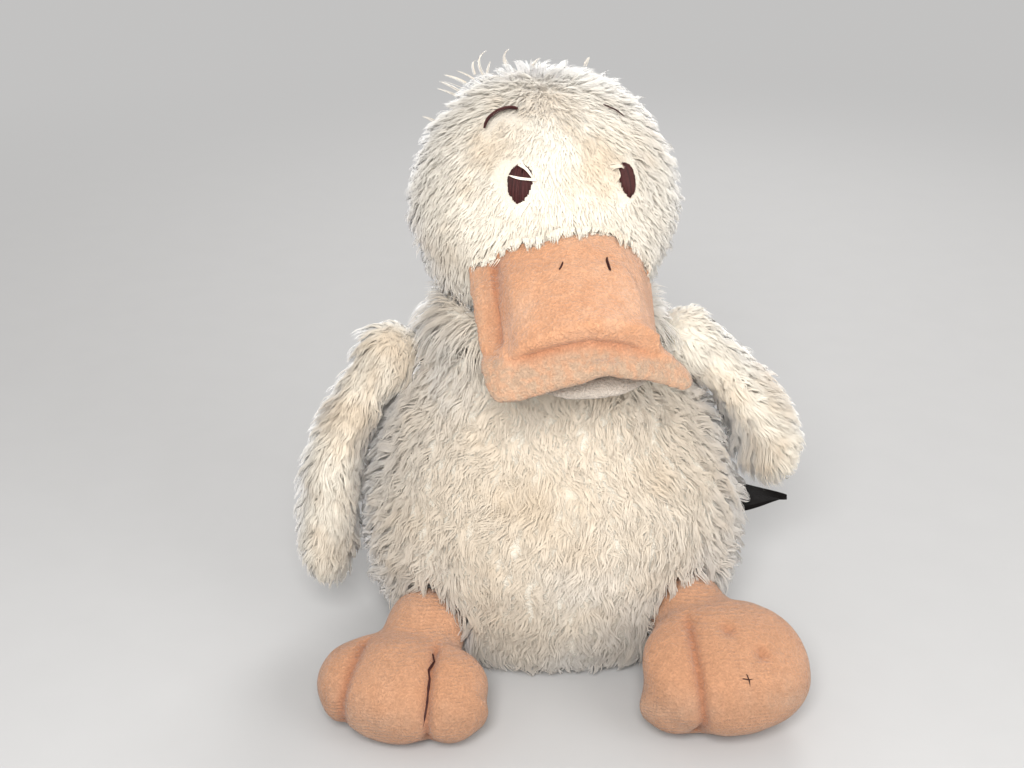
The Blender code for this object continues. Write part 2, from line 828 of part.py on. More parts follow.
def back_panel(body, first, corner):
    """A quarter of the body's cover, between a side seam and the back seam."""
    phis = angles(first, first + pi / 2, ROUND_STEPS // 4)
    lengths = body.lengths(0, 0.0)
    builder = bmesh.new()
    half_gap = SEAM_GAP / 2

    def placed(s, phi, inset):
        p = body.point(s, phi, inset)
        if abs(phi - pi / 2) < SEAM_ANGLE:
            p.x += corner.x * half_gap
        elif min(abs(phi - first), abs(phi - first - pi / 2)) < SEAM_ANGLE:
            p.y += half_gap
        return p

    layers = []
    for inset in (0.0, PLUSH_THICKNESS):
        rows = ring_grid(builder, lambda s, phi: placed(s, phi, inset), lengths, phis, False, False, False)
        skin_faces(builder, rows)
        layers.append(rows)
    outer, inner = layers
    join_edges(builder, outer[0], inner[0])
    join_edges(builder, outer[-1], inner[-1])
    join_edges(builder, [row[0] for row in outer], [row[0] for row in inner])
    join_edges(builder, [row[-1] for row in outer], [row[-1] for row in inner])
    return builder


def make_seat_panel(body):
    """Flat oval under the pellets, which the duck sits on."""
    half_width, half_depth = body.half_sizes(HEM_RISE)
    inset = SEAT_INSET
    builder = bmesh.new()
    rows = []
    for height in (0.0, SEAT_THICKNESS):
        row = []
        for phi in angles(0.0, tau, ROUND_STEPS)[:-1]:
            x, y = oval(half_width - inset, half_depth - inset, phi, BODY_CORNER_POWER)
            row.append(builder.verts.new((x, y, height)))
        rows.append(row + [row[0]])
    skin_faces(builder, rows)
    builder.faces.new(rows[0][:-1])
    builder.faces.new(rows[1][:-1])
    add_object("seat_panel", builder, WHITE_PLUSH)


def turned_ring(profile):
    """A ring turned about Z from a closed profile of (radius, height) points."""
    builder = bmesh.new()
    rows = []
    for phi in angles(0.0, tau, ROUND_STEPS)[:-1]:
        row = [builder.verts.new((r * cos(phi), r * sin(phi), z)) for r, z in profile]
        rows.append(row + [row[0]])
    skin_faces(builder, rows + [rows[0]])
    return builder


def make_neck(neck_axis):
    """The neck's band and its stuffing, which turn under the head's ball."""
    low = NECK_GAP - HEAD_LIFT

    def socket_height(radius):
        return -sqrt(NECK_REACH**2 - radius**2)

    def outer_radius(height):
        share = (height - low) / (socket_height(NECK_TOP_RADIUS) - low)
        return NECK_RADIUS + (NECK_TOP_RADIUS - NECK_RADIUS) * share

    band_inner = NECK_TOP_RADIUS - PLUSH_THICKNESS
    middle = (low + socket_height(NECK_TOP_RADIUS)) / 2
    band = [
        (NECK_RADIUS, low),
        (outer_radius(middle), middle),
        (NECK_TOP_RADIUS, socket_height(NECK_TOP_RADIUS)),
        (band_inner, socket_height(band_inner)),
        (band_inner, low),
    ]
    add_object("neck_band", turned_ring(band), WHITE_PLUSH, neck_axis)

    fill_outer = band_inner - FILL_GAP
    fill_inner = sqrt(NECK_REACH**2 - low**2) + FILL_GAP
    stuffing = [(fill_outer, low), (fill_outer, socket_height(fill_outer))]
    for k in range(1, 4):
        radius = fill_outer + (fill_inner - fill_outer) * k / 4
        stuffing.append((radius, socket_height(radius)))
    stuffing.append((fill_inner, low))
    add_object("neck_filling", turned_ring(stuffing), STUFFING, neck_axis)


def make_head(head_axis):
    add_object("head_left_panel", head_panel(1, PLUSH_THICKNESS), WHITE_PLUSH, head_axis)
    add_object("head_right_panel", head_panel(-1, PLUSH_THICKNESS), WHITE_PLUSH, head_axis)
    add_object("head_filling", head_solid(PLUSH_THICKNESS + FILL_GAP), STUFFING, head_axis)
    for side, word in ((1, "left"), (-1, "right")):
        make_eye("eye_" + word, side, head_axis)
        make_brow("eyebrow_" + word, side, head_axis)


def make_eye(name, side, head_axis):
    """Oval satin stitching that comes to a point at its lower end."""
    outline = []
    for phi in angles(0.0, tau, 16)[:-1]:
        narrowing = 1 - max(0.0, -sin(phi)) ** 3 / 4
        outline.append((EYE_HALF_WIDTH * cos(phi) * narrowing, EYE_HALF_HEIGHT * sin(phi)))
    place = on_head(side, EYE_LONGITUDE, EYE_LATITUDE)
    patch = surface_patch(outline, place, STITCH_THICKNESS)
    add_object(name, patch, EYE_THREAD, head_axis, THREAD_ROUGHNESS)


def make_brow(name, side, head_axis):
    path = []
    for k in range(7):
        share = k / 6 - 1 / 2
        path.append((BROW_LENGTH * share, BROW_ARCH * (1 / 4 - share * share) * 4))
    place = on_head(side, BROW_LONGITUDE, BROW_LATITUDE)
    stitches = strip(path, BROW_HALF_WIDTH, STITCH_THICKNESS, place)
    add_object(name, stitches, EYE_THREAD, head_axis, THREAD_ROUGHNESS)


def make_bill(bill_axis, hinge_axis, head_cutter, hinge_cutter):
    upper = add_object("bill_upper_cover", bill_cover(), PEACH_VELOUR, bill_axis)
    filling = add_object("bill_upper_filling", bill_filling(), STUFFING, bill_axis)
    for piece in (upper, filling):
        cut(piece, head_cutter)

    form = BillForm()

    def on_bill(u, v, rise):
        phi = pi / 2 - asin(u / BILL_HALF_WIDTH)
        surface = form.point(NOSTRIL_SETBACK - v, phi, 0.0)
        return surface + Vector((0.0, 0.0, rise))

    for word, side in (("left", 1), ("right", -1)):
        middle = side * NOSTRIL_SPACING / 2
        path = []
        for share in (-1 / 2, 0, 1 / 2):
            path.append((middle + side * NOSTRIL_LENGTH * share / 6, NOSTRIL_LENGTH * share))
        stitches = strip(path, NOSTRIL_HALF_WIDTH, STITCH_THICKNESS, on_bill)
        add_object("nostril_" + word, stitches, EYE_THREAD, bill_axis, THREAD_ROUGHNESS)

    lower_form = LowerBillForm()
    sleeve = cover(lower_form, VELOUR_THICKNESS, 0.0, tau, LIMB_STEPS, 4)
    stuffing = solid(lower_form, VELOUR_THICKNESS + FILL_GAP, LIMB_STEPS, 4)
    cut(add_object("bill_lower_cover", sleeve, PEACH_VELOUR, hinge_axis), hinge_cutter)
    cut(add_object("bill_lower_filling", stuffing, STUFFING, hinge_axis), hinge_cutter)


def make_wing(word, shoulder_axis, reach, bow):
    form = LimbForm(reach, bow)
    side, _ = form.frame(form.end / 2)
    outward = 1 if side.x * reach.x > 0 else -1
    for name, direction in (("outer", outward), ("inner", -outward)):
        first = -pi / 2 if direction > 0 else pi / 2
        panel = cover(form, LIMB_PLUSH_THICKNESS, first, first + pi, LIMB_STEPS // 2, 6,
                      side * direction)
        add_object("wing_%s_%s_panel" % (word, name), panel, WHITE_PLUSH, shoulder_axis)
    stuffing = solid(form, LIMB_PLUSH_THICKNESS + FILL_GAP, LIMB_STEPS, 6)
    add_object("wing_%s_filling" % word, stuffing, STUFFING, shoulder_axis)


def make_leg(word, hip_axis, ankle_axis, ankle_height, pitch, grooves):
    leg = LegForm()
    socket = ball(ANKLE_BALL_RADIUS + SOCKET_CLEARANCE)
    ankle_socket = add_cutter("cutter_ankle_" + word, socket, ankle_axis)
    tube = cover(leg, VELOUR_THICKNESS, 0.0, tau, LIMB_STEPS, 3)
    stuffing = solid(leg, VELOUR_THICKNESS + FILL_GAP, LIMB_STEPS, 3)
    cut(add_object("leg_%s_cover" % word, tube, PEACH_VELOUR, hip_axis), ankle_socket)
    cut(add_object("leg_%s_filling" % word, stuffing, STUFFING, hip_axis), ankle_socket)

    foot = FootForm(ankle_height, pitch, grooves)
    up = Vector((0.0, 0.0, 1.0))
    top = cover(foot, VELOUR_THICKNESS, 0.0, pi, TOE_STEPS, 3, up)
    sole = cover(foot, VELOUR_THICKNESS, pi, tau, ROUND_STEPS // 2, 3, -up)
    add_object("foot_%s_top" % word, top, PEACH_VELOUR, ankle_axis)
    add_object("foot_%s_sole" % word, sole, PEACH_VELOUR, ankle_axis)
    add_object("foot_%s_filling" % word, foot_filling(foot), STUFFING, ankle_axis)
    return foot


def foot_filling(foot):
    inset = VELOUR_THICKNESS + FILL_GAP
    builder = bmesh.new()
    upper = angles(0.0, pi, TOE_STEPS)
    lower = angles(pi, tau, ROUND_STEPS // 2)
    phis = upper + lower[1:]
    lengths = stations(foot.start, foot.end, foot.start_cap, foot.end_cap, 3, inset)
    rows = ring_grid(builder, lambda s, phi: foot.point(s, phi, inset), lengths, phis, True, True, True)
    skin_faces(builder, rows)
    return builder


def make_toe_stitch(foot, ankle_axis):
    """The dark thread that draws in the groove between two toes of the right foot."""
    across = TOE_GROOVE_PLACE_SHARES[1] * FOOT_HALF_WIDTH

    def on_foot(u, v, rise):
        s = FOOT_LENGTH - TOE_STITCH_SETBACK - v
        full = foot.fullness(s, 0.0)
        width, thick = foot.half_sizes(s)
        share = min(1.0, abs(across + u) / (width * full))
        power = foot.corner_power(s)
        z = thick * full * (1 - share**power) ** (1 / power)
        z *= foot.groove(across + u, s)
        return Vector((across + u, -s, z + TOE_STITCH_LIFT + rise))

    path = [(0.0, TOE_STITCH_LENGTH * (k / 5 - 1 / 2)) for k in range(6)]
    stitches = strip(path, TOE_STITCH_HALF_WIDTH, STITCH_THICKNESS, on_foot)
    add_object("toe_stitch_right_foot", stitches, EYE_THREAD, ankle_axis, THREAD_ROUGHNESS)


def make_tail(tail_axis):
    form = TailForm()
    sleeve = cover(form, LIMB_PLUSH_THICKNESS, 0.0, tau, LIMB_STEPS, 3)
    stuffing = solid(form, LIMB_PLUSH_THICKNESS + FILL_GAP, LIMB_STEPS, 3)
    add_object("tail_cover", sleeve, WHITE_PLUSH, tail_axis)
    add_object("tail_filling", stuffing, STUFFING, tail_axis)


def make_label(label_axis):
    """A blank ribbon folded back on itself, sewn into the side seam."""
    layer = RIBBON_THICKNESS
    fold = LABEL_FOLD_GAP
    outer = layer + fold / 2
    profile = [(0.0, -outer), (LABEL_LENGTH - outer, -outer)]
    for phi in angles(-pi / 2, pi / 2, 6)[1:-1]:
        profile.append((LABEL_LENGTH - outer + outer * cos(phi), outer * sin(phi)))
    profile += [(LABEL_LENGTH - outer, outer), (0.0, outer), (0.0, fold / 2)]
    profile.append((LABEL_LENGTH - outer, fold / 2))
    for phi in angles(pi / 2, -pi / 2, 6)[1:-1]:
        profile.append((LABEL_LENGTH - outer + fold / 2 * cos(phi), fold / 2 * sin(phi)))
    profile += [(LABEL_LENGTH - outer, -fold / 2), (0.0, -fold / 2)]
    builder = bmesh.new()
    rows = []
    for y in (-LABEL_WIDTH / 2, LABEL_WIDTH / 2):
        row = [builder.verts.new((x, y, z)) for x, z in profile]
        rows.append(row + [row[0]])
    skin_faces(builder, rows)
    builder.faces.new(rows[0][:-1])
    builder.faces.new(rows[1][:-1])
    add_object("side_label", builder, RIBBON_BLACK, label_axis, THREAD_ROUGHNESS)


def main():
    clear_scene()
    neck_axis = axis_empty("neck_axis", HEAD_CENTRE)
    head_axis = axis_empty("head_axis", HEAD_CENTRE, (0.0, 0.0, HEAD_YAW))
    root = Vector((0.0, -BILL_ROOT_FORWARD, -BILL_ROOT_DROP))
    bill_turn = (BILL_PITCH, 0.0, BILL_SIDE_TURN)
    bill_axis = axis_empty("bill_axis", root, bill_turn, head_axis)
    drop = Euler(bill_turn).to_matrix() @ Vector((0.0, -LOWER_BILL_HINGE_FORWARD, -LOWER_BILL_DROP))
    hinge_axis = axis_empty("bill_hinge_axis", root + drop, bill_turn, head_axis)

    head_ball = ball(NECK_REACH, HEAD_SOCKET_STEPS)
    head_socket = add_cutter("cutter_head_socket", head_ball, head_axis)
    head_front = add_cutter("cutter_bill_root", head_solid(-SEAM_GAP), head_axis)
    hinge_front = add_cutter("cutter_lower_bill_root", head_solid(-LOWER_BILL_CLEARANCE), head_axis)

    shoulders = {
        "right": axis_empty("wing_right_axis", RIGHT_SHOULDER),
        "left": axis_empty("wing_left_axis", LEFT_SHOULDER),
    }
    hips = {
        "right": axis_empty("leg_right_axis", RIGHT_HIP, (RIGHT_LEG_SLOPE, 0.0, -RIGHT_TOE_OUT)),
        "left": axis_empty("leg_left_axis", LEFT_HIP, (LEFT_LEG_SLOPE, 0.0, LEFT_TOE_OUT)),
    }
    tail_axis = axis_empty("tail_axis", TAIL_ROOT, (TAIL_PITCH, 0.0, 0.0))
    sockets = []
    for word, axis in shoulders.items():
        sockets.append(add_cutter("cutter_shoulder_" + word,
                                  ball(SHOULDER_BALL_RADIUS + SOCKET_CLEARANCE), axis))
    for word, axis in hips.items():
        sockets.append(add_cutter("cutter_hip_" + word, ball(HIP_BALL_RADIUS + HIP_CLEARANCE), axis))
    sockets.append(add_cutter("cutter_tail", ball(TAIL_BALL_RADIUS + SOCKET_CLEARANCE), tail_axis))

    make_body(head_socket, sockets)
    make_neck(neck_axis)
    make_head(head_axis)
    make_bill(bill_axis, hinge_axis, head_front, hinge_front)
    make_wing("right", shoulders["right"], RIGHT_WING_REACH, RIGHT_WING_BOW)
    make_wing("left", shoulders["left"], LEFT_WING_REACH, LEFT_WING_BOW)
    for word, hip, slope, pitch, grooves in (
        ("right", RIGHT_HIP, RIGHT_LEG_SLOPE, RIGHT_FOOT_PITCH, TOE_GROOVE_PLACE_SHARES),
        ("left", LEFT_HIP, LEFT_LEG_SLOPE, LEFT_FOOT_PITCH, (-TOE_GROOVE_PLACE_SHARES[1],)),
    ):
        height = hip.z - LEG_LENGTH * sin(slope)
        ankle_place = (0.0, -LEG_LENGTH, 0.0)
        ankle_turn = (pitch - slope, 0.0, 0.0)
        ankle = axis_empty("foot_%s_axis" % word, ankle_place, ankle_turn, hips[word])
        foot = make_leg(word, hips[word], ankle, height, pitch, grooves)
        if word == "right":
            make_toe_stitch(foot, ankle)
    make_tail(tail_axis)

    panel_side = BodyForm().left_side(LABEL_HEIGHT, LABEL_SETBACK)
    label_root = Vector((panel_side + SEAM_GAP, LABEL_SETBACK, LABEL_HEIGHT))
    make_label(axis_empty("label_axis", label_root, (0.0, -LABEL_RISE, LABEL_YAW)))


if __name__ == "__main__":
    main()
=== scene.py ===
import json
from math import cos, pi, radians, sin

import bmesh
import bpy
import numpy as np
from bpy.props import FloatProperty, FloatVectorProperty, IntProperty, PointerProperty
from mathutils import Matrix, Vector, kdtree, noise
from mathutils.bvhtree import BVHTree


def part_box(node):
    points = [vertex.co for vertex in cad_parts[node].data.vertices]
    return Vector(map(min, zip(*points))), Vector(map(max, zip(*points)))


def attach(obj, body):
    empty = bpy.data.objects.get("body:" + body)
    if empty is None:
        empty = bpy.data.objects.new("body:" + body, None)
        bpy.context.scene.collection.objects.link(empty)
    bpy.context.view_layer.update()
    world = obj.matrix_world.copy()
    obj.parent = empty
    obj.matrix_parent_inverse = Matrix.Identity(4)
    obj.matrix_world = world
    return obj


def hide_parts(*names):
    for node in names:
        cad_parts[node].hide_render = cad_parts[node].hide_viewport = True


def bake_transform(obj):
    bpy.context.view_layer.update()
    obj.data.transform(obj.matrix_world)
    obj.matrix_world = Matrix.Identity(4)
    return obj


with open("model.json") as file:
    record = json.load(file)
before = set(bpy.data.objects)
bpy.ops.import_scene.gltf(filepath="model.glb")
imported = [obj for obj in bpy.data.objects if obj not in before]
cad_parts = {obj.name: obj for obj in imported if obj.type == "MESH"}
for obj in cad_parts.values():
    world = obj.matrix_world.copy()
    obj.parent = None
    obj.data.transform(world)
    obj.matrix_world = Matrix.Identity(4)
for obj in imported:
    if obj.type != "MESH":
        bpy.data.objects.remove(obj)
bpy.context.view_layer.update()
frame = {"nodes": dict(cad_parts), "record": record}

bl_info = {
    "name": "Plush Duck",
    "version": (1, 0, 0),
    "blender": (4, 5, 0),
    "location": "View3D > Sidebar > Duck",
    "description": "Dresses a seated plush duck in fur, velour and embroidery",
    "category": "Object",
}

JOINTS = {joint["name"]: joint for joint in frame["record"]["behaviour"]["joints"]}
UP = np.array((0.0, 0.0, 1.0))
ACROSS = np.array((1.0, 0.0, 0.0))
ELEVATION = radians(25)
VIEW = np.array((0.0, cos(ELEVATION), -sin(ELEVATION)))
RISING = np.array((0.0, sin(ELEVATION), cos(ELEVATION)))
SIDES = ("right", "left")


def pivot(joint):
    """A joint's place."""
    return np.array(JOINTS[joint]["pos_m"])


HEAD_CENTRE = pivot("head_turn")
HEAD_SIDE = np.array(JOINTS["head_nod"]["axis"])
HEAD_FRONT = np.cross(HEAD_SIDE, UP)


def colour(name, description, value):
    """A colour that the user can change."""
    return FloatVectorProperty(
        name=name, description=description, default=value, subtype="COLOR", min=0, max=1
    )


def length(name, description, value):
    """A length that the user can change."""
    return FloatProperty(name=name, description=description, default=value, unit="LENGTH", precision=4)


def number(name, description, value):
    """A whole number that the user can change."""
    return IntProperty(name=name, description=description, default=value)


class FurSettings(bpy.types.PropertyGroup):
    """Lengths, widths and numbers of the fur."""

    head_length: length("Head fur", "Length of the brushed fur on the head", 0.0066)
    body_length: length("Body fur", "Length of the wavy locks on the body", 0.0086)
    wing_length: length("Wing fur", "Length of the long locks on the wings", 0.0105)
    strand_width: length("Strand width", "Width of one strand at its root", 0.00052)
    head_strands: number("Head strands", "Strands on the head", 31000)
    body_strands: number("Body strands", "Strands on the body", 45500)
    wing_strands: number("Wing strands", "Strands on each wing", 14000)
    neck_strands: number("Neck strands", "Strands on the neck", 7500)
    tail_strands: number("Tail strands", "Strands on the tail", 2600)
    strands_in_lock: number("Strands in a lock", "Strands that lean together", 10)
    seed: number("Seed", "Start of the random numbers", 7)


class ColourSettings(bpy.types.PropertyGroup):
    """Colours of the cloth, thread and ribbon."""

    cream: colour("Cream", "Light fur of the head", (0.94, 0.855, 0.715))
    # Body cream: partly the body plush's own beiger tone, partly painted shade, as less light reaches the
    # lower body
    body_cream_and_shade: colour("Body cream", "Light fur of body and wings", (0.76, 0.65, 0.515))
    # Painted shade: beige stands for fur in shade, in patches and at the roots
    beige: colour("Beige", "Shaded patches of fur", (0.76, 0.62, 0.46))
    # Painted shade: the cool grey-blue of fur in shade, put in patches at random
    shade: colour("Cool shade", "Cool patches of fur", (0.79, 0.84, 0.87))
    velour: colour("Velour", "Bill", (0.64, 0.325, 0.180))
    velour_pale: colour("Pale velour", "Bill where it is brushed pale", (0.72, 0.44, 0.29))
    # Painted shade: legs and feet are of the bill's velour, painted darker as less light reaches low down
    foot: colour("Foot velour", "Legs and feet", (0.455, 0.245, 0.145))
    foot_pale: colour("Pale foot velour", "Legs and feet where brushed pale", (0.52, 0.33, 0.225))
    # Painted shade: dark red velour in folds, grooves, dimples and low on the feet; it also gives the bill's
    # lip a light random mottle
    fold: colour("Folds", "Velour in a fold or seam", (0.36, 0.13, 0.065))
    # Painted sheen: the pale velour of the bill's rolled lip and of its left flange's roll
    lip: colour("Lip", "Worn velour of the bill's rolled lip", (0.51, 0.355, 0.245))
    # Painted sheen: the lower bill is the bill's peach velour, painted pale grey for the sheen of its pile
    lower_bill: colour("Lower bill", "Pale velour of the lower bill", (0.56, 0.49, 0.42))
    thread: colour("Thread", "Embroidery thread", (0.042, 0.010, 0.009))
    ribbon: colour("Ribbon", "Woven side label", (0.0050, 0.0036, 0.0030))
    seat: colour("Seat", "Flat seat panel", (0.70, 0.66, 0.60))


class StageSettings(bpy.types.PropertyGroup):
    """Floor, light and camera."""

    floor: colour("Floor", "Floor and background", (0.535, 0.53, 0.525))
    camera_distance: length("Camera distance", "From the camera to the point that it looks at", 0.56)


class DuckSettings(bpy.types.PropertyGroup):
    """All settings of the duck."""

    fur: PointerProperty(type=FurSettings)
    colours: PointerProperty(type=ColourSettings)
    stage: PointerProperty(type=StageSettings)


# Materials


def operator(operation, reflected=False):
    """An operator of Socket, which adds a Math node."""

    def add_node(self, other):
        values = (other, self) if reflected else (self, other)
        return self.finish.node("ShaderNodeMath", {"operation": operation}, dict(enumerate(values)))

    return add_node


class Socket:
    """A value in a finish. Arithmetic on it adds Math nodes."""

    __add__, __radd__ = operator("ADD"), operator("ADD", True)
    __mul__, __rmul__ = operator("MULTIPLY"), operator("MULTIPLY", True)

    def __init__(self, finish, output):
        self.finish = finish
        self.output = output


class Finish:
    """A material with one Principled shader."""

    def __init__(self, name, roughness, **constants):
        self.material = bpy.data.materials.new(name)
        self.material.use_nodes = True
        self.tree = self.material.node_tree
        self.shader = self.tree.nodes["Principled BSDF"]
        self.shader.inputs["Roughness"].default_value = roughness
        for socket, value in constants.items():
            self.shader.inputs[socket.replace("_", " ")].default_value = value

    def connect(self, socket, value):
        """Puts a number, a colour or another node's output in a socket."""
        if isinstance(value, Socket):
            self.tree.links.new(value.output, socket)
        elif hasattr(value, "__len__") and len(value) == 3 and len(socket.default_value) == 4:
            socket.default_value = (*value, 1)
        else:
            socket.default_value = value

    def node(self, kind, settings=None, inputs=None, output=0):
        """Adds a node, sets it up, fills its inputs and returns one output."""
        node = self.tree.nodes.new(kind)
        for key, value in (settings or {}).items():
            setattr(node, key, value)
        for key, value in (inputs or {}).items():
            self.connect(node.inputs[key], value)
        return Socket(self, node.outputs[output])

    def place(self):
        """Object coordinates."""
        return self.node("ShaderNodeTexCoord", output="Object")

    def attribute(self, name):
        """A number kept on the mesh."""
        return self.node("ShaderNodeAttribute", {"attribute_name": name}, output="Fac")

    def clouds(self, scale, detail=2, roughness=0.5):
        """Soft noise between 0 and 1."""
        inputs = {"Vector": self.place(), "Scale": scale, "Detail": detail, "Roughness": roughness}
        return self.node("ShaderNodeTexNoise", inputs=inputs)

    def step(self, value, low, high, start=0.0, end=1.0):
        """Rises smoothly from start to end while a value goes from low to high."""
        settings = {"interpolation_type": "SMOOTHSTEP"}
        inputs = {"Value": value, "From Min": low, "From Max": high, "To Min": start, "To Max": end}
        return self.node("ShaderNodeMapRange", settings, inputs)

    def blend(self, share, first, second, mode="MIX"):
        """A mix of two colours."""
        settings = {"data_type": "RGBA", "blend_type": mode}
        return self.node("ShaderNodeMix", settings, {0: share, 6: first, 7: second}, 2)

    def along(self, axis):
        """One of the object coordinates."""
        return self.node("ShaderNodeSeparateXYZ", inputs={"Vector": self.place()}, output=axis)

    def bump(self, height, distance):
        """Raises the surface by a height from 0 to 1."""
        inputs = {"Height": height, "Distance": distance, "Strength": 1.0}
        self.connect(self.shader.inputs["Normal"], self.node("ShaderNodeBump", inputs=inputs))

    def paint(self, base, tone):
        """Sets the base colour to a colour times a grey tone."""
        grey = self.node("ShaderNodeCombineColor", inputs=dict.fromkeys(("Red", "Green", "Blue"), tone))
        self.connect(self.shader.inputs["Base Color"], self.blend(1.0, base, grey, "MULTIPLY"))
        return self.material


def plush_colours(finish, colours, cool, cream):
    """Cream fur with painted shade: beige patches and some patches of a cool shade, spread at random."""
    # Painted shade: the beige and cool patches stand for fur in shade
    patches = finish.step(finish.clouds(24, 3, 0.6), 0.47, 0.70)
    base = finish.blend(patches, cream, colours.beige)
    cool_shade_patches = finish.step(finish.clouds(15), 0.42, 0.72, 0.0, cool)
    return finish.blend(cool_shade_patches, base, colours.shade)


def fur_finish(name, colours, cream, cool):
    """Fur: each strand and lock has its own tone, and painted shade darkens it at the roots and near the
    floor.
    """
    finish = Finish(name, 0.7, Sheen_Weight=0.8, Sheen_Roughness=0.5, Specular_IOR_Level=0.2)
    # Painted shade: the roots blend to beige, as light is shaded deep in the fur
    root_shade = finish.step(finish.attribute("along"), 0.0, 0.65, 0.35, 0.0)
    tone = (0.92 + 0.08 * finish.attribute("strand")) * (0.90 + 0.10 * finish.attribute("lock"))
    # Painted shade: darker near the floor, as less light reaches low down
    tone = tone * finish.step(finish.along("Z"), 0.01, 0.07, 0.84, 1.0)
    base = finish.blend(root_shade, plush_colours(finish, colours, cool, cream), colours.beige)
    return finish.paint(base, tone)


def backing_finish(colours):
    """The knitted backing under the fur, full of short pile."""
    finish = Finish("plush_backing", 0.95, Sheen_Weight=0.3)
    pile = finish.clouds(900, 3, 0.7)
    finish.bump(pile, 0.0008)
    # Painted shade in patches, as on the fur
    base = plush_colours(finish, colours, 0.25, colours.cream)
    return finish.paint(base, 0.70 + 0.30 * pile)


WALE_SPACING = 0.0013


def velour_finish(name, main, pale, colours, wales):
    """Short velour: speckled pile, brushed paler in patches, with fine knitted wales; painted light up the
    legs, painted sheen on the bill's lip and painted shade in folds and low on the feet.
    """
    finish = Finish(name, 0.85, Sheen_Weight=0.25, Sheen_Roughness=0.4, Specular_IOR_Level=0.1)
    worn = finish.step(finish.clouds(38, 5, 0.65), 0.40, 0.70)
    pile = finish.step(finish.clouds(1150, 2, 0.65), 0.30, 0.70)
    speckle = finish.step(finish.clouds(430, 3, 0.6), 0.35, 0.68)
    down = finish.along("Y") * 0.42 + finish.along("Z") * 0.90 + 0.0022 * finish.clouds(60)
    rib = finish.node("ShaderNodeMath", {"operation": "SINE"}, {0: down * (2 * pi / WALE_SPACING)})
    ribs = (0.5 + 0.5 * rib) * finish.step(finish.clouds(30), 0.40, 0.60, 0.25, 1.0) * wales
    finish.bump(ribs * 0.32 + pile * 0.43 + speckle * 0.25, 0.0007)
    base = finish.blend(worn * 0.75, main, pale)
    # Painted light: the legs turn towards the bill's velour higher above the ankle
    base = finish.blend(finish.attribute("painted_light_up_leg"), base, colours.velour)
    # Painted sheen: the bill's lip and flange roll turn pale in tufts
    lip_sheen_tufts = finish.step(finish.clouds(300, 3, 0.6), 0.38, 0.60, 0.45, 1.0)
    base = finish.blend(finish.attribute("lip") * lip_sheen_tufts, base, colours.lip)
    # Painted shade: folds, grooves, dimples and the feet's lowest parts turn dark red
    base = finish.blend(finish.attribute("fold"), base, colours.fold)
    tone = (0.86 + 0.20 * pile) * (0.93 + 0.10 * speckle) * (0.96 + 0.04 * ribs)
    return finish.paint(base, tone)


def thread_finish(colours):
    """Glossy embroidery thread."""
    finish = Finish("embroidery_thread", 0.55, Specular_IOR_Level=0.25)
    tone = (0.7 + 0.9 * finish.attribute("strand")) * (0.75 + 0.5 * finish.clouds(700))
    return finish.paint(colours.thread, tone)


def ribbon_finish(colours):
    """Close satin weave."""
    finish = Finish("woven_ribbon", 0.6, Specular_IOR_Level=0.15)
    weave = finish.node(
        "ShaderNodeTexWave",
        {"wave_type": "BANDS", "bands_direction": "Y"},
        {"Vector": finish.place(), "Scale": 2600, "Distortion": 0.3},
        output="Fac",
    )
    finish.bump(weave, 0.00004)
    return finish.paint(colours.ribbon, (0.7 + 0.8 * finish.clouds(120, 3)) * (0.8 + 0.3 * weave))


def seat_finish(colours):
    """Plain cloth of the seat."""
    finish = Finish("seat_cloth", 0.9, Sheen_Weight=0.2)
    pile = finish.clouds(1100, 3, 0.7)
    finish.bump(pile, 0.0003)
    return finish.paint(colours.seat, 0.7 + 0.5 * pile)


# Soft forms


def select_only(piece):
    """Makes a piece the only one selected."""
    bpy.ops.object.select_all(action="DESELECT")
    piece.select_set(True)
    bpy.context.view_layer.objects.active = piece


def apply_modifier(piece, kind, **settings):
    """Adds a modifier, sets it and applies it."""
    select_only(piece)
    modifier = piece.modifiers.new("Shape", kind)
    for key, value in settings.items():
        setattr(modifier, key, value)
    bpy.ops.object.modifier_apply(modifier=modifier.name)


def soften(piece, times):
    """Smooths a piece's form."""
    apply_modifier(piece, "SMOOTH", factor=0.5, iterations=times)


def shade_smooth(piece):
    """Shades a piece without facets."""
    select_only(piece)
    bpy.ops.object.shade_smooth()


def add_object(name, data):
    """Puts a new object in the scene."""
    item = bpy.data.objects.new(name, data)
    bpy.context.scene.collection.objects.link(item)
    return item


def mesh_from(form, name):
    """A mesh made of a bmesh, which is freed."""
    mesh = bpy.data.meshes.new(name)
    form.to_mesh(mesh)
    form.free()
    return mesh


def rows(items, name):
    """One vector of each item, as the rows of an array."""
    found = np.empty(len(items) * 3)
    items.foreach_get(name, found)
    return found.reshape(-1, 3)


def vertices(mesh):
    """A mesh's points."""
    return rows(mesh.vertices, "co")


def normals(mesh):
    """A mesh's point normals."""
    return rows(mesh.vertex_normals, "vector")


def centre_of(node):
    """The middle of a CAD node's points."""
    return np.mean(vertices(frame["nodes"][node].data), axis=0)


def eye_centres():
    """The middles of the left and right eye in the CAD solids."""
    return [centre_of("eye_left"), centre_of("eye_right")]


def reshape(piece, rule):
    """Moves each point of a piece by a rule of its place and its normal."""
    mesh = piece.data
    points = rule(vertices(mesh), normals(mesh))
    mesh.vertices.foreach_set("co", points.ravel())
    mesh.update()


def keep_numbers(mesh, name, values):
    """Keeps a number at each point of a mesh, for its finish."""
    data = mesh.attributes.new(name, "FLOAT", "POINT").data
    data.foreach_set("value", values.ravel().astype(np.float32))


def mark(piece, name, values):
    """Keeps a number from 0 to 1 at each point of a piece, for its finish."""
    keep_numbers(piece.data, name, clamp(values))


def clamp(values):
    """Values held between 0 and 1."""
    return np.clip(values, 0, 1)


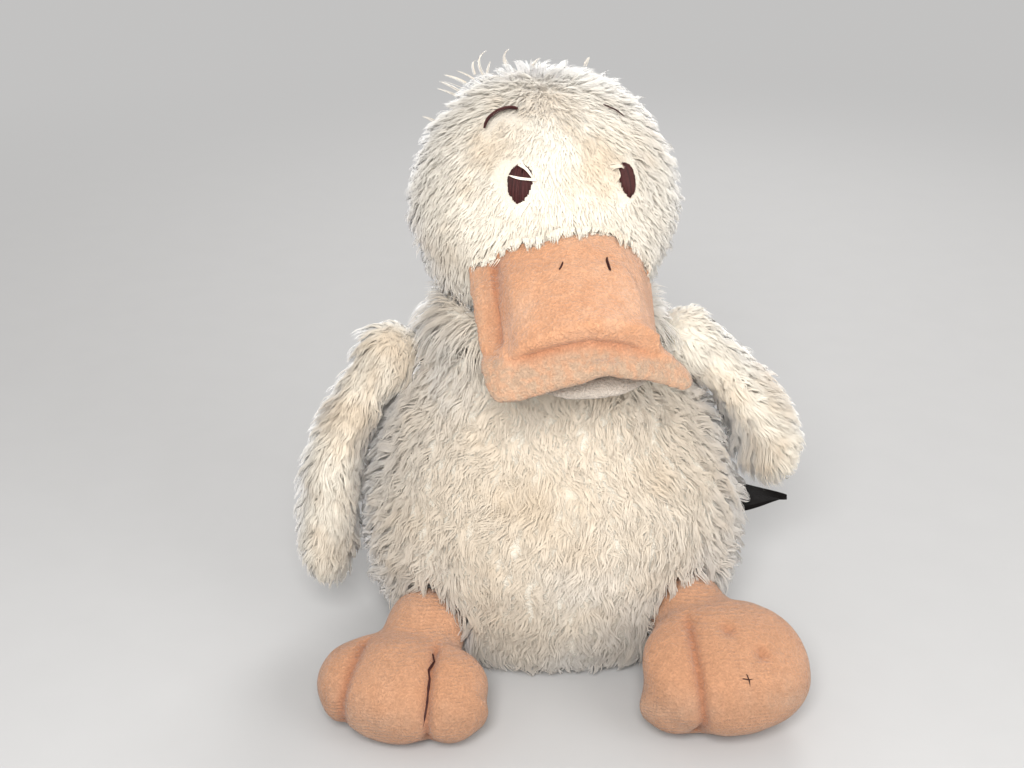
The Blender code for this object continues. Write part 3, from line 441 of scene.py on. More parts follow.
def bell(values):
    """A bell curve: 1 at 0, and near 0 from 2 on."""
    return np.exp(-(values**2))


def ripple(points, scale, seed):
    """Smooth noise from -1 to 1 at each point."""
    shift = Vector((seed * 3.7, seed * 1.3, seed * 2.1))
    return np.array([noise.noise(Vector(p) * scale + shift) for p in points])


def outer_shell(piece):
    """Keeps only the largest closed shell of a mesh."""
    form = bmesh.new()
    form.from_mesh(piece.data)
    left = set(form.verts)
    shells = []
    while left:
        start = left.pop()
        shell, edge = {start}, [start]
        while edge:
            for link in edge.pop().link_edges:
                for vert in link.verts:
                    if vert in left:
                        left.discard(vert)
                        shell.add(vert)
                        edge.append(vert)
        shells.append(shell)
    largest = max(shells, key=len)
    bmesh.ops.delete(form, geom=[v for v in form.verts if v not in largest], context="VERTS")
    form.to_mesh(piece.data)
    form.free()


def remesh(piece, voxel, smoothing):
    """Makes a piece one closed shell of even faces, and smooths it."""
    apply_modifier(piece, "REMESH", mode="VOXEL", voxel_size=voxel)
    outer_shell(piece)
    soften(piece, smoothing)


def wrap(name, nodes, voxel, smoothing, levels=0, added=None):
    """One closed soft form that wraps the given CAD nodes and stands for them."""
    form = bmesh.new()
    if added is not None:
        form.from_mesh(added)
    for node in nodes:
        form.from_mesh(frame["nodes"][node].data)
    bmesh.ops.remove_doubles(form, verts=form.verts, dist=0.00001)
    piece = add_object(name, mesh_from(form, name))
    remesh(piece, voxel, smoothing)
    if levels:
        apply_modifier(piece, "SUBSURF", levels=levels, render_levels=levels)
    shade_smooth(piece)
    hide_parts(*nodes)
    return piece


def close_folds(piece, reach, voxel):
    """Fills folds narrower than twice the reach, as stuffing does."""
    reshape(piece, lambda points, facing: points + facing * reach)
    remesh(piece, voxel, smoothing=3)
    reshape(piece, lambda points, facing: points - facing * reach)
    shade_smooth(piece)


def finish_piece(piece, material, body):
    """Gives a piece its material and, where one is named, its body."""
    piece.data.materials.clear()
    piece.data.materials.append(material)
    if body:
        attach(piece, body)


def tree_of(piece):
    """A search tree of a piece's faces."""
    return BVHTree.FromObject(piece, bpy.context.evaluated_depsgraph_get())


def inside(tree, points, facing):
    """Which points lie within a closed piece."""
    found = np.zeros(len(points), dtype=bool)
    for index in range(len(points)):
        _, normal, _, _ = tree.ray_cast(points[index], facing[index])
        found[index] = normal is not None and normal.dot(facing[index]) > 0
    return found


def room(points, tree, reach=0.03):
    """How far each point is from a piece, up to a reach."""
    return np.array([tree.find_nearest(p, reach)[3] or reach for p in points])


def distance(points, places):
    """How far each point is from the nearest of some places."""
    return np.min(np.linalg.norm(points[:, None] - np.array(places)[None], axis=2), axis=1)


def unit(vectors):
    """Vectors of length one."""
    return vectors / np.maximum(np.linalg.norm(vectors, axis=-1, keepdims=True), 1e-9)


def flat_on(vectors, facing):
    """Vectors laid flat on surfaces with these normals."""
    return unit(vectors - facing * np.sum(vectors * facing, axis=-1, keepdims=True))


# Fur and thread


def scatter(piece, count, random):
    """Points spread evenly over a piece, with their normals."""
    mesh = piece.data
    mesh.calc_loop_triangles()
    corners = np.empty(len(mesh.loop_triangles) * 3, dtype=np.int64)
    mesh.loop_triangles.foreach_get("vertices", corners)
    corners = corners.reshape(-1, 3)
    points, facing = vertices(mesh), normals(mesh)
    a, b, c = (points[corners[:, k]] for k in range(3))
    area = np.linalg.norm(np.cross(b - a, c - a), axis=1)
    total = np.cumsum(area)
    picks = (np.arange(count) + random.random(count)) / count * total[-1]
    chosen = np.minimum(np.searchsorted(total, picks), len(corners) - 1)
    u, v = random.random(count), random.random(count)
    over = u + v > 1
    u[over], v[over] = 1 - u[over], 1 - v[over]
    weights = np.stack([1 - u - v, u, v], axis=1)[:, :, None]
    roots = np.sum(points[corners[chosen]] * weights, axis=1)
    return roots, unit(np.sum(facing[corners[chosen]] * weights, axis=1))


def nearest(points, centres):
    """For each point, the number of the nearest centre."""
    tree = kdtree.KDTree(len(centres))
    for index, centre in enumerate(centres):
        tree.insert(centre, index)
    tree.balance()
    return np.array([tree.find(p)[1] for p in points])


def strand_map(faces, rings):
    """Where each corner of a strand lies in its cell of the map: three sides beside each other."""
    flat = [(0.02, 0.02), (0.06, 0.02), (0.04, 0.03)]
    for face in faces[1:]:
        side = face[0] % 3
        for vert in face:
            if vert == rings * 3:
                flat.append(((side + 0.5) / 3, 1.0))
            else:
                flat.append(((side + (vert % 3 != side)) / 3, vert // 3 / rings))
    return np.array(flat) * 0.86 + 0.07


def strand_mesh(name, paths, facing, widths, marks, softness=0.9):
    """Closed three-sided strands along paths, each drawn out to a point, in one mesh.

    paths has a row of points for each strand, facing the side that each shows, and widths
    the width at each point but the last. marks are numbers that each strand keeps. softness
    turns the shading of a strand towards the side that it lies on, as light does in fur.
    """
    count, steps = paths.shape[:2]
    rings = steps - 1
    ahead = unit(np.gradient(paths, axis=1))
    side = unit(np.cross(ahead, facing[:, None, :]))
    top = np.cross(side, ahead)
    half = widths[:, :, None] / 2
    middle = paths[:, :rings]
    side, top = side[:, :rings], top[:, :rings]
    ring = np.stack([middle - side * half, middle + side * half, middle + top * half * 0.9], axis=2)
    points = np.concatenate([ring.reshape(count, rings * 3, 3), paths[:, rings:]], axis=1)
    per = rings * 3 + 1
    turns = [(k * 3 + j, k * 3 + (j + 1) % 3) for k in range(rings) for j in range(3)]
    faces = [(0, 1, 2)] + [(low, low + 3, after + 3, after) for low, after in turns[:-3]]
    faces += [(low, per - 1, after) for low, after in turns[-3:]]
    starts = np.cumsum([0] + [len(face) for face in faces[:-1]])
    flat = strand_map(faces, rings)
    faces = np.concatenate(faces)
    mesh = bpy.data.meshes.new(name)
    piece = add_object(name, mesh)
    mesh.vertices.add(count * per)
    mesh.vertices.foreach_set("co", points.ravel())
    mesh.loops.add(count * len(faces))
    mesh.loops.foreach_set("vertex_index", (faces + np.arange(count)[:, None] * per).ravel())
    mesh.polygons.add(count * len(starts))
    mesh.polygons.foreach_set("loop_start", (starts + np.arange(count)[:, None] * len(faces)).ravel())
    mesh.update(calc_edges=True)
    mesh.polygons.foreach_set("use_smooth", np.ones(count * len(starts), dtype=bool))
    for key, values in marks.items():
        keep_numbers(mesh, key, np.repeat(values, per))
    along = np.append(np.repeat(np.arange(rings) / rings, 3), 1.0)
    keep_numbers(mesh, "along", np.tile(along, count))
    columns = int(np.ceil(np.sqrt(count * 3)))
    cells = np.stack([np.arange(count) % columns, np.arange(count) // columns], axis=1)
    places = (cells[:, None, :] + flat[None]) / np.array([columns, np.ceil(count / columns)])
    mesh.uv_layers.new(name="OFBake").data.foreach_set("uv", places.ravel().astype(np.float32))
    soft = facing[:, None, None, :] * softness
    bulge = 1 - softness
    around = [(top * -0.4 - side) * bulge, (top * -0.4 + side) * bulge, top * bulge]
    ring_normals = (np.stack(around, axis=2) + soft).reshape(count, rings * 3, 3)
    tip_normals = facing[:, None, :] + 0 * paths[:, rings:]
    smooth = unit(np.concatenate([ring_normals, tip_normals], axis=1)).astype(np.float32)
    mesh.attributes.new("custom_normal", "FLOAT_VECTOR", "POINT").data.foreach_set("vector", smooth.ravel())
    return piece


class Coat:
    """Fur on one skin. A rule gives each lock its direction, length, lift and wave."""

    # Places along a strand, and its width at all but the last
    STEPS = np.linspace(0, 1, 4)
    TAPER = np.array([0.9, 1.0, 0.62])
    ROOT_DEPTH = 0.0004
    ABOVE_FLOOR = 0.0008
    MOST_IN_PIECE = 12400

    def __init__(self, skin, strands, rule, settings, seed, keep=None):
        self.random = np.random.default_rng(settings.seed * 100 + seed)
        self.width = settings.strand_width
        roots, facing = scatter(skin, strands, self.random)
        centres, centre_facing = scatter(skin, max(8, strands // settings.strands_in_lock), self.random)
        if keep is not None:
            kept = keep(roots, facing)
            roots, facing = roots[kept], facing[kept]
        self.roots, self.facing = roots, facing
        self.lock = nearest(roots, centres)
        self.look = rule(centres, centre_facing, self.random)
        self.centres, self.centre_facing = centres, centre_facing

    def curve(self, roots, facing, lock, spread):
        """The points of each strand or lock, from root to tip."""
        look = {key: value[lock, None, None] for key, value in self.look.items() if key != "ahead"}
        count = len(roots)
        ahead = flat_on(self.look["ahead"][lock] + self.random.normal(0, spread, (count, 3)), facing)
        across = np.cross(facing, ahead)
        reach = look["length"] * (1 + self.random.normal(0, spread * 0.6, count))[:, None, None]
        t = self.STEPS[None, :, None]
        run = reach * np.cos(look["lift"]) * (0.75 * t + 0.25 * t * t)
        rise = reach * np.sin(look["lift"]) * (1.75 * t - 0.85 * t * t)
        wave = look["wave"] * (np.sin(look["phase"] + look["turns"] * t) - np.sin(look["phase"]))
        start = (roots - facing * self.ROOT_DEPTH)[:, None, :]
        return start + ahead[:, None, :] * run + facing[:, None, :] * rise + across[:, None, :] * wave

    def grow(self, name, chosen, material, body):
        """Makes one piece of the strands that are chosen."""
        roots, facing, lock = self.roots[chosen], self.facing[chosen], self.lock[chosen]
        own = self.curve(roots, facing, lock, 0.22)
        every = np.arange(len(self.centres))
        middle = self.curve(self.centres, self.centre_facing, every, 0.0)[lock]
        count = len(own)
        gather = self.look["gather"][lock] * self.random.uniform(0.6, 1.15, count)
        pull = gather[:, None, None] * self.STEPS[None, :, None] ** 0.9
        paths = own + (middle - own) * np.minimum(pull, 0.95)
        paths[:, :, 2] = np.maximum(paths[:, :, 2], self.ABOVE_FLOOR)
        widths = self.width * self.TAPER[None] * self.random.uniform(0.75, 1.25, (count, 1))
        marks = {"strand": self.random.random(count), "lock": self.look["tone"][lock]}
        piece = strand_mesh(name, paths, facing, widths, marks)
        finish_piece(piece, material, body)

    def grow_round(self, name, centre, material, body):
        """Makes pieces of the strands, split round a centre, each small enough."""
        parts = -(-len(self.roots) // self.MOST_IN_PIECE)
        order = np.argsort(np.arctan2(self.roots[:, 0] - centre[0], -(self.roots[:, 1] - centre[1])))
        for index, chosen in enumerate(np.array_split(order, parts)):
            self.grow(f"{name}_{index + 1}", chosen, material, body)


# How far a lock's wave turns on its way, in radians
CALM, WAVY = (3.0, 6.0), (3.5, 7.0)


def lock_look(ahead, facing, random, length, lift, wave, gather, turns=CALM):
    """The look of locks: direction, length, lift, wave, gather and tone, with some chance."""
    count = len(facing)
    return {
        "gather": gather + np.zeros(count),
        "ahead": flat_on(ahead, facing),
        "length": length * random.uniform(0.72, 1.22, count),
        "lift": np.radians(lift) * random.uniform(0.7, 1.3, count),
        "wave": wave * random.uniform(0.3, 1.3, count),
        "phase": random.uniform(0, 2 * pi, count),
        "turns": random.uniform(*turns, count) * random.choice([-1, 1], count),
        "tone": random.random(count),
    }


def brushed(ahead, facing, angles):
    """A direction laid flat on a skin and turned about its normals by angles."""
    ahead = flat_on(ahead, facing)
    return ahead * np.cos(angles)[:, None] + np.cross(facing, ahead) * np.sin(angles)[:, None]


class DuckOperator:
    """What all steps share."""

    bl_options = {"REGISTER"}

    def settings(self, context):
        """The duck's settings."""
        return context.scene.plush_duck


class DUCK_OT_body(DuckOperator, bpy.types.Operator):
    """Body, neck and seat"""

    bl_idname = "duck.body"
    bl_label = "Body, neck and seat"

    def execute(self, context):
        colours = self.settings(context).colours
        backing = backing_finish(colours)
        nodes = ["body_front_panel", "body_back_left_panel", "body_back_right_panel"]
        body = wrap("body_cover", nodes + ["body_filling", "pellet_bag"], voxel=0.0028, smoothing=6)

        def settle(points, facing):
            folds = 0.0012 * ripple(points, 38, 1)
            inset = 0.0032 * np.clip((points[:, 2] - 0.002) / 0.012, 0.3, 1)
            return points + facing * (folds - inset)[:, None]

        reshape(body, settle)
        finish_piece(body, backing, "torso")
        neck = wrap("neck_cover", ["neck_band", "neck_filling"], voxel=0.0024, smoothing=4)

        def fold(points, facing):
            swell = 0.0012 - 0.0045 * clamp(facing[:, 1] + 0.3)
            return points + facing * swell[:, None]

        reshape(neck, fold)
        finish_piece(neck, backing, "neck")
        seat = wrap("seat_cover", ["seat_panel"], voxel=0.0016, smoothing=1)
        finish_piece(seat, seat_finish(colours), "torso")
        return {"FINISHED"}


class DUCK_OT_head(DuckOperator, bpy.types.Operator):
    """Head"""

    bl_idname = "duck.head"
    bl_label = "Head"

    def execute(self, context):
        nodes = ["head_left_panel", "head_right_panel", "head_filling"]
        head = wrap("head_cover", nodes, voxel=0.0024, smoothing=6)

        def settle(points, facing):
            inset = 0.0008 + 0.0020 * clamp((distance(points, eye_centres()) - 0.006) / 0.010)
            folds = 0.0007 * ripple(points, 45, 2)
            return points + facing * (folds - inset)[:, None]

        reshape(head, settle)
        finish_piece(head, backing_finish(self.settings(context).colours), "head")
        return {"FINISHED"}


class DUCK_OT_bill(DuckOperator, bpy.types.Operator):
    """Upper and lower bill"""

    bl_idname = "duck.bill"
    bl_label = "Bill"

    def execute(self, context):
        colours = self.settings(context).colours
        velour = velour_finish("bill_velour", colours.velour, colours.velour_pale, colours, wales=0.2)
        # Painted sheen: the whole lower bill takes the pale grey lower bill colour
        pale = velour_finish("lower_bill_velour", colours.lower_bill, colours.lower_bill, colours, wales=0.2)
        nodes = ["bill_upper_cover", "bill_upper_filling"]
        upper = wrap("bill_top", nodes, voxel=0.0012, smoothing=14, levels=1)
        self.shape_bill(upper)
        nodes = ["bill_lower_cover", "bill_lower_filling"]
        lower = wrap("bill_underside", nodes, voxel=0.0014, smoothing=3, levels=1)
        finish_piece(upper, velour, "head")
        finish_piece(lower, pale, "lower_bill")
        return {"FINISHED"}

    def shape_bill(self, bill):
        """Rounds the bill and rolls its rim up in an arch, then pulls and folds its cloth."""
        side = np.array(JOINTS["lower_bill_open"]["axis"])
        level = np.cross(side, UP)
        pitch = radians(31)
        ahead = level * cos(pitch) - UP * sin(pitch)
        over = level * sin(pitch) + UP * cos(pitch)

        def settle(points, facing):
            s = np.max(points @ ahead) - points @ ahead
            share = np.divide(*self.across(points, side))
            front = clamp(1 - s / 0.036)
            root = clamp((s - 0.020) / 0.030)
            upper = clamp(facing @ over * 2.0)
            bend = 0.0034 * front**1.5 * (np.cos(np.clip(share, -1, 1) * pi) + 0.25)
            notch = 0.0022 * bell(share / 0.11) * bell(s / 0.004)
            drop = 0.0050 * root * np.abs(share) ** 2.2 * upper
            moved = points + over * (bend + notch - drop)[:, None]
            moved = moved - ahead * (0.0030 * front * (1 - np.abs(share) ** 1.5) - 0.0012 * front)[:, None]
            rise = 0.0002 * ripple(points, 230, 15) + 0.0006 * ripple(points, 42, 16)
            rise = rise + 0.0012 * (share < -0.80) * upper
            return moved + facing * rise[:, None]

        reshape(bill, settle)
        soften(bill, 4)
        self.pull_bill(bill, side, ahead)
        self.fold_bill(bill)

    def across(self, points, side):
        """How far points lie from the bill's middle plane, and half its width."""
        places = points @ side
        return places - (places.max() + places.min()) / 2, (places.max() - places.min()) / 2

    def pull_bill(self, bill, side, ahead):
        """Pulls the slack velour to its arched root, spread left flange and rounded corners."""
        pulls = np.array(BILL_PULLS)

        def settle(points, facing):
            offset, half = self.across(points, side)
            s = np.max(points @ ahead) - points @ ahead
            away = offset[:, None] - pulls[None, :, 0] * half
            nearness = np.exp(-(away**2 + (s[:, None] - pulls[None, :, 1]) ** 2) / (2 * BILL_PULL_REACH**2))
            total = nearness.sum(axis=1) + 0.02
            across = (nearness @ pulls[:, 2]) / total
            rising = (nearness @ pulls[:, 3]) / total
            return points + across[:, None] * ACROSS + rising[:, None] * RISING

        reshape(bill, settle)
        soften(bill, 4)

    def fold_bill(self, bill):
        """Presses the crease behind the lip and the valley beside the flange, and marks painted shade in them
        and painted sheen on the lip.
        """
        crease, valley = np.array(BILL_CREASE), np.array(BILL_VALLEY)
        marks = {}

        def settle(points, facing):
            x, y = points[:, 0], points @ RISING
            seen = clamp(-(facing @ VIEW) * 2.5)
            away = (y - np.interp(x, crease[:, 0], crease[:, 1])) / 0.83
            ends = clamp((x - crease[0, 0] - 0.001) / 0.009) * clamp((0.0345 - x) / 0.014)
            pressed = bell(away / 0.0014) * ends
            soft = bell(away / 0.0042) * ends
            lip = clamp(-away / 0.0035)
            beside = x - np.interp(y, valley[:, 1], valley[:, 0])
            reach = clamp((y - valley[0, 1]) / 0.004)
            narrow = bell(beside / 0.0013) * reach
            wide = bell((beside - 0.0015) / 0.0045) * reach
            tube = bell((beside + 0.0052) / 0.0028) * reach
            right = clamp((x - 0.0325) / 0.004) * clamp((y - 0.107) / 0.006)
            mottle = 0.5 + 0.5 * ripple(points, 520, 19)
            # Painted shade in the crease and the valley, darker to the valley's right, on faces turned to the
            # camera; the lip also gets a light random mottle
            folds = 0.34 * pressed + 0.16 * soft + 0.42 * narrow + 0.18 * wide + 0.10 * lip * mottle
            # Painted sheen on the lip and on the flange's roll
            marks.update(fold=folds * seen, lip=np.maximum(lip, 0.4 * tube))
            thick = np.clip((0.036 - x) / 0.012, 0.25, 1)
            rise = 0.0013 * lip * thick - 0.0009 * pressed - 0.0006 * soft - 0.0013 * narrow - 0.0009 * wide
            rise = rise + 0.0016 * tube + 0.0003 * mottle * lip
            moved = points + facing * (rise * seen)[:, None]
            return moved + (VIEW * 0.013 - HEAD_SIDE * 0.003) * right[:, None]

        reshape(bill, settle)
        for name, values in marks.items():
            mark(bill, name, values)
        soften(bill, 2)


# How far the bill's cloth is pulled: share across, way back from the lip, pull across and upwards
BILL_PULL_REACH = 0.0065
BILL_PULLS = (
    (-0.94, 0.0577, -0.0074, 0.0011),
    (-0.78, 0.0567, -0.0014, -0.0021),
    (-0.53, 0.0576, 0.0, -0.0024),
    (-0.16, 0.0567, 0.0007, 0.0),
    (0.26, 0.0588, 0.0003, -0.0021),
    (0.70, 0.0636, 0.0004, -0.0085),
    (0.95, 0.0657, -0.0052, -0.0088),
    (-0.94, 0.0440, -0.0056, 0.0007),
    (-0.97, 0.0238, -0.0034, -0.0003),
    (-0.99, 0.0081, -0.0037, 0.0050),
    (-0.97, 0.0028, -0.0030, 0.0047),
    (-0.83, 0.0001, -0.0010, 0.0027),
    (-0.48, 0.0025, 0.0, 0.0020),
    (-0.09, 0.0035, 0.0, 0.0003),
    (0.07, 0.0037, 0.0020, 0.0020),
    (0.54, 0.0026, 0.0013, 0.0030),
    (0.84, 0.0009, 0.0020, 0.0044),
    (0.95, 0.0043, 0.0017, 0.0037),
    (0.96, 0.0397, -0.0042, -0.0007),
    (0.96, 0.0257, -0.0045, 0.0),
    (0.97, 0.0183, -0.0038, 0.0),
    (-0.79, 0.0382, -0.0034, 0.0),
    (-0.81, 0.0189, -0.0037, -0.0007),
    (-0.32, 0.0283, -0.0007, 0.0013),
    (0.27, 0.0267, 0.0, 0.0013),
)
# Across and up, as seen from the front
BILL_CREASE = (
    (-0.0216, 0.1070),
    (-0.0166, 0.1050),
    (-0.0112, 0.1060),
    (0.0001, 0.1090),
    (0.0085, 0.1104),
    (0.0148, 0.1100),
    (0.0228, 0.1090),
    (0.0302, 0.1070),
    (0.0355, 0.1067),
)
BILL_VALLEY = ((-0.0216, 0.1080), (-0.0222, 0.1184), (-0.0233, 0.1288), (-0.0236, 0.1345))


class DUCK_OT_wings(DuckOperator, bpy.types.Operator):
    """Wings"""

    bl_idname = "duck.wings"
    bl_label = "Wings"

    def execute(self, context):
        backing = backing_finish(self.settings(context).colours)
        for side in SIDES:
            nodes = [f"wing_{side}_{part}" for part in ("outer_panel", "inner_panel", "filling")]
            wing = wrap(f"wing_{side}_cover", nodes, voxel=0.0024, smoothing=5)
            shoulder = pivot(f"{side}_wing_lift")
            out = np.array((-1.0 if side == "right" else 1.0, -0.35, 0.2))
            fuller, slim = (0.0002, 0.0015) if side == "right" else (0.0, 0.0042)

            def settle(points, facing, shoulder=shoulder, out=out, fuller=fuller, slim=slim):
                away = np.linalg.norm(points - shoulder, axis=1)
                slack = bell((away - 0.028) / 0.018) * clamp(facing @ out)
                swell = fuller + 0.0010 * ripple(points, 60, 13) - slim * slack
                moved = points + facing * swell[:, None]
                moved[:, 2] -= 0.0022 * bell(away / 0.020)
                return moved

            reshape(wing, settle)
            finish_piece(wing, backing, f"{side}_wing")
        return {"FINISHED"}


class DUCK_OT_legs(DuckOperator, bpy.types.Operator):
    """Legs and feet"""

    bl_idname = "duck.legs"
    bl_label = "Legs and feet"

    # Each groove's place across the foot, depth, width and bend
    GROOVES = {
        "right": ((-0.0200, 0.0030, 0.0022, -0.0020), (0.0112, 0.0036, 0.0014, 0.0015)),
        "left": ((-0.0115, 0.0034, 0.0018, -0.0030),),
    }
    # Each dimple's place across and along the foot
    DIMPLES = {"right": (), "left": ((0.0035, 0.0140), (0.0130, 0.0250))}
    # Each pad's place from the ankle, half sizes and slope in degrees
    PADS = {
        "right": ((-0.0018, 0.0140, 0.0020), (0.0330, 0.0215, 0.0150), 18),
        "left": ((0.0030, 0.0160, 0.0045), (0.0325, 0.0270, 0.0140), 26),
    }
    # The least height of a foot, and a reach from the ankle for a bend, which is worked out but not used
    LOWEST = 0.0006
    BEND = 0.007

    def execute(self, context):
        colours = self.settings(context).colours
        velour = velour_finish("foot_velour", colours.foot, colours.foot_pale, colours, wales=0.85)
        for side in SIDES:
            nodes = [f"leg_{side}_{part}" for part in ("cover", "filling")]
            nodes += [f"foot_{side}_{part}" for part in ("top", "sole", "filling")]
            limb = wrap(f"leg_{side}_velour", nodes, voxel=0.0016, smoothing=2, added=self.pad(side))
            close_folds(limb, reach=0.0045, voxel=0.0016)
            soften(limb, 5)
            apply_modifier(limb, "SUBSURF", levels=1, render_levels=1)
            self.shape_foot(limb, side)
            ankle = pivot(f"{side}_foot_flex")
            bend = unit(ankle - pivot(f"{side}_leg_swing")) * self.BEND
            finish_piece(limb, velour, None)
            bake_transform(limb)
        return {"FINISHED"}

    def pad(self, side):
        """The full pad of a foot, which slopes from the ankle down to the toes."""
        offset, size, tilt = self.PADS[side]
        ankle, across, forward = foot_frame(side)
        tilt = radians(tilt)
        ahead = forward * cos(tilt) - UP * sin(tilt)
        over = UP * cos(tilt) + forward * sin(tilt)
        middle = ankle + across * offset[0] + forward * offset[1] + UP * offset[2]
        form = bmesh.new()
        bmesh.ops.create_icosphere(form, subdivisions=5, radius=1)
        for vert in form.verts:
            x, y, z = (np.sign(c) * abs(c) ** 0.9 * r for c, r in zip(vert.co, size))
            place = middle + across * x + ahead * y + over * z
            vert.co = (place[0], place[1], max(place[2], self.LOWEST))
        return mesh_from(form, "foot_pad")

    def shape_foot(self, limb, side):
        """Presses toe grooves and dimples into the upper side of the foot, and marks painted shade in them
        and low on the foot, and painted light up the leg.
        """
        ankle, across, forward = foot_frame(side)
        folds = []

        def settle(points, facing):
            offset = points - ankle
            x, y = offset @ across, offset @ forward
            upper = clamp((facing[:, 2] * 0.5 + facing @ forward + 0.25) * 2)
            swell = 0.0004 * ripple(points, 110, 3) + 0.0010 * clamp(-y / 0.01)
            moved = points + facing * swell[:, None]
            # Painted shade in the toe grooves and dimples
            recess_shade = np.zeros(len(points))
            for middle, depth, width, bend in self.GROOVES[side]:
                place = middle + bend * np.clip((y - 0.018) / 0.018, -1, 1)
                reach = clamp((y + 0.001) / 0.008) * upper
                away = (x - place) / width
                sharp, wide = bell(away), bell(away / 3.2)
                moved -= facing * (depth * (0.55 * sharp + 0.45 * wide) * reach)[:, None]
                recess_shade += (0.45 * sharp + 0.10 * wide) * reach
            for place_x, place_y in self.DIMPLES[side]:
                near = np.exp(-((x - place_x) ** 2 + (y - place_y) ** 2) / 0.0028**2) * upper
                moved -= facing * (0.0018 * near)[:, None]
                recess_shade += 0.4 * near
            moved[:, 2] = np.maximum(moved[:, 2], self.LOWEST)
            # Painted shade is also darker on the lowest part of the foot, as less light reaches it
            folds.append(recess_shade + 0.30 * clamp(1 - points[:, 2] / 0.010))
            return moved

        reshape(limb, settle)
        mark(limb, "fold", folds[0])
        # Painted light: the leg turns towards the bill's velour higher above the ankle
        mark(limb, "painted_light_up_leg", 0.6 * clamp((vertices(limb.data)[:, 2] - ankle[2] - 0.002) / 0.008))


def foot_frame(side):
    """The ankle, the direction across the foot and its forward direction."""
    across = -np.array(JOINTS[f"{side}_foot_flex"]["axis"])
    return pivot(f"{side}_foot_flex"), across, np.cross(across, UP)


class DUCK_OT_tail(DuckOperator, bpy.types.Operator):
    """Tail"""

    bl_idname = "duck.tail"
    bl_label = "Tail"

    def execute(self, context):
        tail = wrap("tail_skin", ["tail_cover", "tail_filling"], voxel=0.0020, smoothing=4)
        reshape(tail, lambda points, facing: points - facing * 0.0024)
        finish_piece(tail, backing_finish(self.settings(context).colours), "tail")
        return {"FINISHED"}


